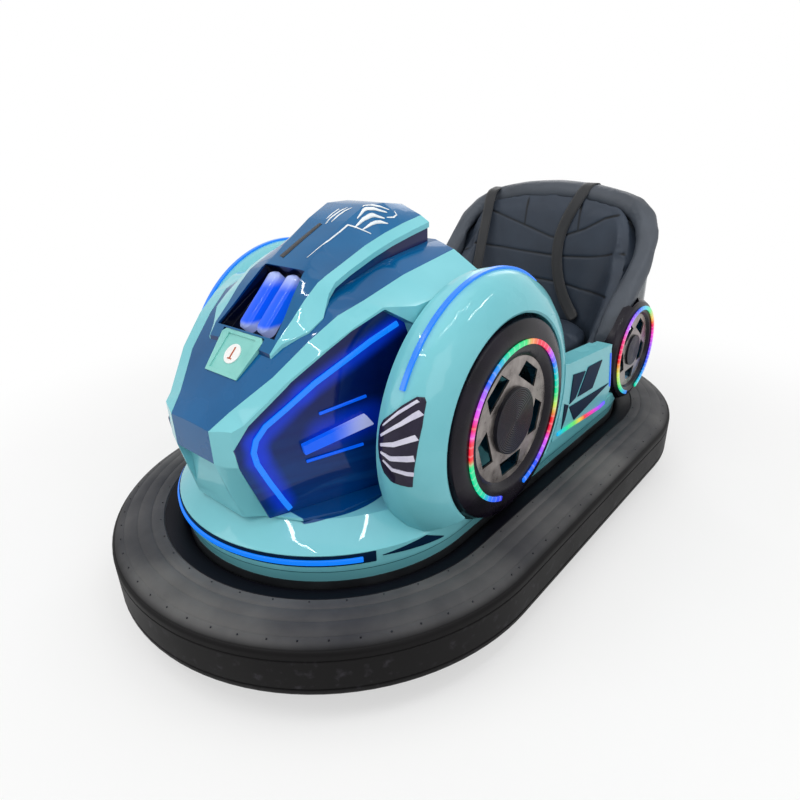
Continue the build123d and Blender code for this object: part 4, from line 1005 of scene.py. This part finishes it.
# Belts: flat webbing over the rim and down the back.
belt_lines = {
    "left": [
        (0.120, 0.780, 0.712),
        (0.120, 0.796, 0.740),
        (0.120, 0.808, 0.800),
        (0.120, 0.808, 0.868),
        (0.120, 0.786, 0.891),
        (0.120, 0.757, 0.893),
        (0.115, 0.726, 0.890),
        (0.110, 0.705, 0.868),
        (0.096, 0.697, 0.820),
        (0.056, 0.682, 0.740),
        (0.047, 0.663, 0.640),
        (0.086, 0.641, 0.520),
        (0.147, 0.622, 0.450),
        (0.166, 0.612, 0.434),
    ],
    "right": [
        (-0.256, 0.780, 0.712),
        (-0.256, 0.796, 0.740),
        (-0.256, 0.806, 0.790),
        (-0.256, 0.807, 0.840),
        (-0.256, 0.786, 0.865),
        (-0.256, 0.755, 0.867),
        (-0.252, 0.722, 0.862),
        (-0.250, 0.700, 0.842),
        (-0.247, 0.680, 0.800),
        (-0.244, 0.650, 0.720),
        (-0.240, 0.606, 0.600),
        (-0.2365, 0.552, 0.450),
    ],
}
belt_width = 0.04
belt_thick = 0.0025
belt_lift = 0.0022
rim_skin = skin_of(rim)
for name, line in belt_lines.items():
    points = []
    for place in line:
        spot, normal, _, gap = rim_skin.find_nearest(Vector(place))
        close = gap < 0.04 and place[1] > 0.7
        points.append(spot + normal * belt_lift if close else Vector(place))
    bm = bmesh.new()
    end = None
    for before, point, after in zip([points[0], *points], points, [*points[1:], points[-1]]):
        along = (after - before).normalized()
        across = (Vector((1, 0, 0)) - along * along.x).normalized() * belt_width / 2
        if end is None:
            end = bm.edges.new((bm.verts.new(point - across), bm.verts.new(point + across)))
            continue
        grown = bmesh.ops.extrude_edge_only(bm, edges=[end])["geom"]
        end = next(e for e in grown if isinstance(e, bmesh.types.BMEdge))
        first = min(end.verts, key=lambda v: v.co.x)
        last = max(end.verts, key=lambda v: v.co.x)
        first.co = point - across
        last.co = point + across
    belt = piece(f"belt_webbing_{name}", bm, webbing, smooth=60)
    rounded = belt.modifiers.new("Rounding", "SUBSURF")
    rounded.levels = 2
    rounded.render_levels = 2
    thick = belt.modifiers.new("Thickness", "SOLIDIFY")
    thick.thickness = belt_thick
    thick.offset = 0.0
    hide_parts(f"belt_{name}")

# ---------------------------------------------------------------- number and decals
plate_low = Vector((0, -0.705, 0.610))
plate_high = Vector((0, -0.633, 0.681))
plate_up = (plate_high - plate_low).normalized()
plate_out = Vector((1, 0, 0)).cross(plate_up)
figure = bpy.data.curves.new("figure", "FONT")
figure.body = "1"
figure.size = 0.04
figure.align_x = "CENTER"
figure.align_y = "CENTER"
figure.extrude = 0.0004
figure_object = bpy.data.objects.new("figure", figure)
scene.collection.objects.link(figure_object)
bpy.context.view_layer.update()
figure_mesh = bpy.data.meshes.new_from_object(
    figure_object.evaluated_get(bpy.context.evaluated_depsgraph_get())
)
bpy.data.objects.remove(figure_object)
stand = (plate_low + plate_high) / 2 + plate_out * 0.0064
facing = Matrix((Vector((1, 0, 0)), plate_up, plate_out)).transposed().to_4x4()
figure_mesh.transform(Matrix.Translation(stand) @ facing)
bm = bmesh.new()
bm.from_mesh(figure_mesh)
figure_piece = piece("number_figure", bm, numeral)

# Foot of the figure, a short bar as wide as its serif.
bm = bmesh.new()
foot_size = Vector((0.013, 0.0028, 0.0008))
bmesh.ops.create_cube(bm, size=1.0)
bmesh.ops.scale(bm, verts=bm.verts, vec=foot_size)
foot_place = Matrix.Translation(stand - plate_up * 0.0118) @ facing
bmesh.ops.transform(bm, matrix=foot_place, verts=bm.verts)
piece("number_figure_foot", bm, numeral)

# Canopy decals: a pinstripe and a plain wind-swept motif in white film, laid on the curved skin.
canopy_skin = surface_of("canopy")
decal_lift = 0.0006
film = 0.0004


def lay_strokes(name, strokes, worn):
    """Strips of film seen from above, each a line of (x, y, width), dropped onto the canopy's skin."""
    bm = bmesh.new()
    for stroke in strokes:
        line = [Vector(point) for point in stroke]
        fine = []
        for begin, stop in zip(line, line[1:]):
            count = max(1, round((stop - begin).xy.length / 0.004))
            fine += [begin.lerp(stop, i / count) for i in range(count)]
        fine.append(line[-1])
        end = None
        for before, point, after in zip([fine[0], *fine], fine, [*fine[1:], fine[-1]]):
            along = (after - before).xy.normalized()
            across = Vector((along.y, -along.x)) * point.z / 2
            places = []
            for side in (-1, 1):
                spot = point.xy + side * across
                hit = canopy_skin.ray_cast(Vector((*spot, 2.0)), Vector((0, 0, -1)))
                places.append(hit[0] + hit[1] * decal_lift if hit[0] else None)
            if None in places:
                end = None
                continue
            if end is None:
                end = bm.edges.new([bm.verts.new(place) for place in places])
                corners = list(end.verts)
                continue
            grown = bmesh.ops.extrude_edge_only(bm, edges=[end])["geom"]
            fresh = [e for e in grown if isinstance(e, bmesh.types.BMVert)]
            fresh.sort(key=lambda v: (v.co - corners[0].co).length)
            end = next(e for e in grown if isinstance(e, bmesh.types.BMEdge))
            corners = fresh
            for vertex, place in zip(corners, places):
                vertex.co = place
    made = piece(name, bm, worn)
    thick = made.modifiers.new("Thickness", "SOLIDIFY")
    thick.thickness = film
    thick.offset = 0.0
    return made


pinstripe = [
    (0.045, -0.485, 0.0015),
    (0.053, -0.459, 0.0025),
    (0.061, -0.434, 0.003),
    (0.066, -0.402, 0.003),
    (0.068, -0.380, 0.003),
    (0.079, -0.370, 0.003),
    (0.107, -0.348, 0.002),
]
gusts = [
    # a swirl of strokes that thin towards the front
    [(0.080, -0.372, 0.002), (0.078, -0.340, 0.007), (0.082, -0.310, 0.009), (0.094, -0.288, 0.003)],
    [(0.092, -0.360, 0.002), (0.093, -0.330, 0.006), (0.098, -0.305, 0.007), (0.106, -0.290, 0.002)],
    [(0.070, -0.352, 0.002), (0.066, -0.325, 0.006), (0.070, -0.295, 0.008), (0.084, -0.268, 0.003)],
    [(0.060, -0.322, 0.002), (0.060, -0.298, 0.005), (0.068, -0.272, 0.005), (0.080, -0.255, 0.002)],
    [(0.094, -0.280, 0.002), (0.099, -0.262, 0.004), (0.096, -0.248, 0.003), (0.086, -0.244, 0.002)],
]
far_gusts = [
    [(0.010, -0.392, 0.002), (0.006, -0.370, 0.006), (0.010, -0.345, 0.006), (0.020, -0.330, 0.002)],
    [(0.022, -0.385, 0.002), (0.020, -0.362, 0.006), (0.024, -0.342, 0.006), (0.034, -0.330, 0.002)],
    [(-0.002, -0.378, 0.002), (-0.004, -0.358, 0.005), (0.000, -0.338, 0.004)],
]
lay_strokes("canopy_decal", [pinstripe, *gusts, *far_gusts], decal)
# The slot is a strip of black film: painted shade where the slot opens.
slot_line = [(-0.006, -0.392, 0.012), (-0.018, -0.440, 0.014), (-0.031, -0.493, 0.016)]
lay_strokes("canopy_slot_shade", [slot_line], slot_shade_film)

# ---------------------------------------------------------------- stage and light
bm = bmesh.new()
bmesh.ops.create_circle(bm, cap_ends=True, segments=96, radius=9.0)
floor_mesh = bpy.data.meshes.new("studio_floor")
bm.to_mesh(floor_mesh)
bm.free()
studio_floor = bpy.data.objects.new("studio_floor", floor_mesh)
scene.collection.objects.link(studio_floor)
paper = Finish("floor_paper", "#F4F4F3", "#F7F7F6", 900, (0.8, 0.9), 4, 0.02, Specular_IOR_Level=0.1)
floor_mesh.materials.append(paper.material)

# Away from the car's shadow the floor is as white as the background, to the camera and in mirror images.
path = add(paper, "ShaderNodeLightPath")
mirrored = add(
    paper,
    "ShaderNodeMath",
    [path.outputs["Is Glossy Ray"], path.outputs["Is Transmission Ray"]],
    operation="MAXIMUM",
)
looked_at = add(paper, "ShaderNodeMath", [path.outputs["Is Camera Ray"], mirrored], operation="MAXIMUM")
reach = add(paper, "ShaderNodeVectorMath", {0: paper.place}, operation="LENGTH").outputs["Value"]
far_part = add(
    paper,
    "ShaderNodeMath",
    [add(paper, "ShaderNodeMapRange", [reach, 1.0, 2.2], interpolation_type="SMOOTHSTEP"), 0.45, 0.55],
    operation="MULTIPLY_ADD",
)
white_part = add(paper, "ShaderNodeMath", [looked_at, far_part], operation="MULTIPLY")
glow = add(paper, "ShaderNodeEmission", {"Color": linear("#FFFFFF")})
blend = add(paper, "ShaderNodeMixShader", {0: white_part, 1: paper.shader, 2: glow})
give(paper.tree, paper.tree.nodes["Material Output"].inputs["Surface"], blend)

lamps = [
    # name, place, aim, long side, short side, power
    ("overhead_softbox", (0.3, -0.5, 3.2), (0, 0, 0.4), 2.6, 2.6, 16),
    ("left_softbox", (3.2, -1.4, 2.0), (0, 0, 0.4), 1.8, 1.8, 20),
    ("front_softbox", (-1.6, -3.2, 1.9), (0, 0, 0.4), 1.6, 1.6, 18),
    ("rear_softbox", (-1.2, 3.0, 2.4), (0, 0, 0.4), 1.8, 1.8, 18),
    ("ceiling_tube_1", (-0.9, -1.5, 2.9), (0, -0.2, 0.5), 1.5, 0.04, 8),
    ("ceiling_tube_2", (0.1, -2.1, 2.9), (0, -0.2, 0.5), 1.5, 0.04, 8),
    ("ceiling_tube_3", (1.3, -0.3, 2.8), (0, -0.2, 0.5), 1.5, 0.04, 8),
    ("ceiling_tube_4", (2.2, 1.1, 2.7), (0, 0.2, 0.5), 1.5, 0.04, 8),
]
for name, place, aim, long_side, short_side, power in lamps:
    lamp_data = bpy.data.lights.new(name, "AREA")
    lamp_data.shape = "RECTANGLE"
    lamp_data.size = long_side
    lamp_data.size_y = short_side
    lamp_data.energy = power
    lamp = bpy.data.objects.new(name, lamp_data)
    lamp.location = place
    lamp.rotation_euler = (Vector(aim) - Vector(place)).to_track_quat("-Z", "Y").to_euler()
    scene.collection.objects.link(lamp)

world = bpy.data.worlds.new("studio")
world.use_nodes = True
scene.world = world
sky = world.node_tree
rays = add(sky, "ShaderNodeLightPath")
seen = rays.outputs["Is Camera Ray"]
for mirroring in ("Is Glossy Ray", "Is Transmission Ray"):
    seen = add(sky, "ShaderNodeMath", {0: seen, 1: rays.outputs[mirroring]}, operation="MAXIMUM")
level = add(sky, "ShaderNodeMapRange", {"To Min": 0.5, "To Max": 1.0, "Value": seen})
background = sky.nodes["Background"]
give(sky, background.inputs["Strength"], level)
give(sky, background.inputs["Color"], linear("#FFFFFF"))

# ---------------------------------------------------------------- update
bpy.context.view_layer.update()
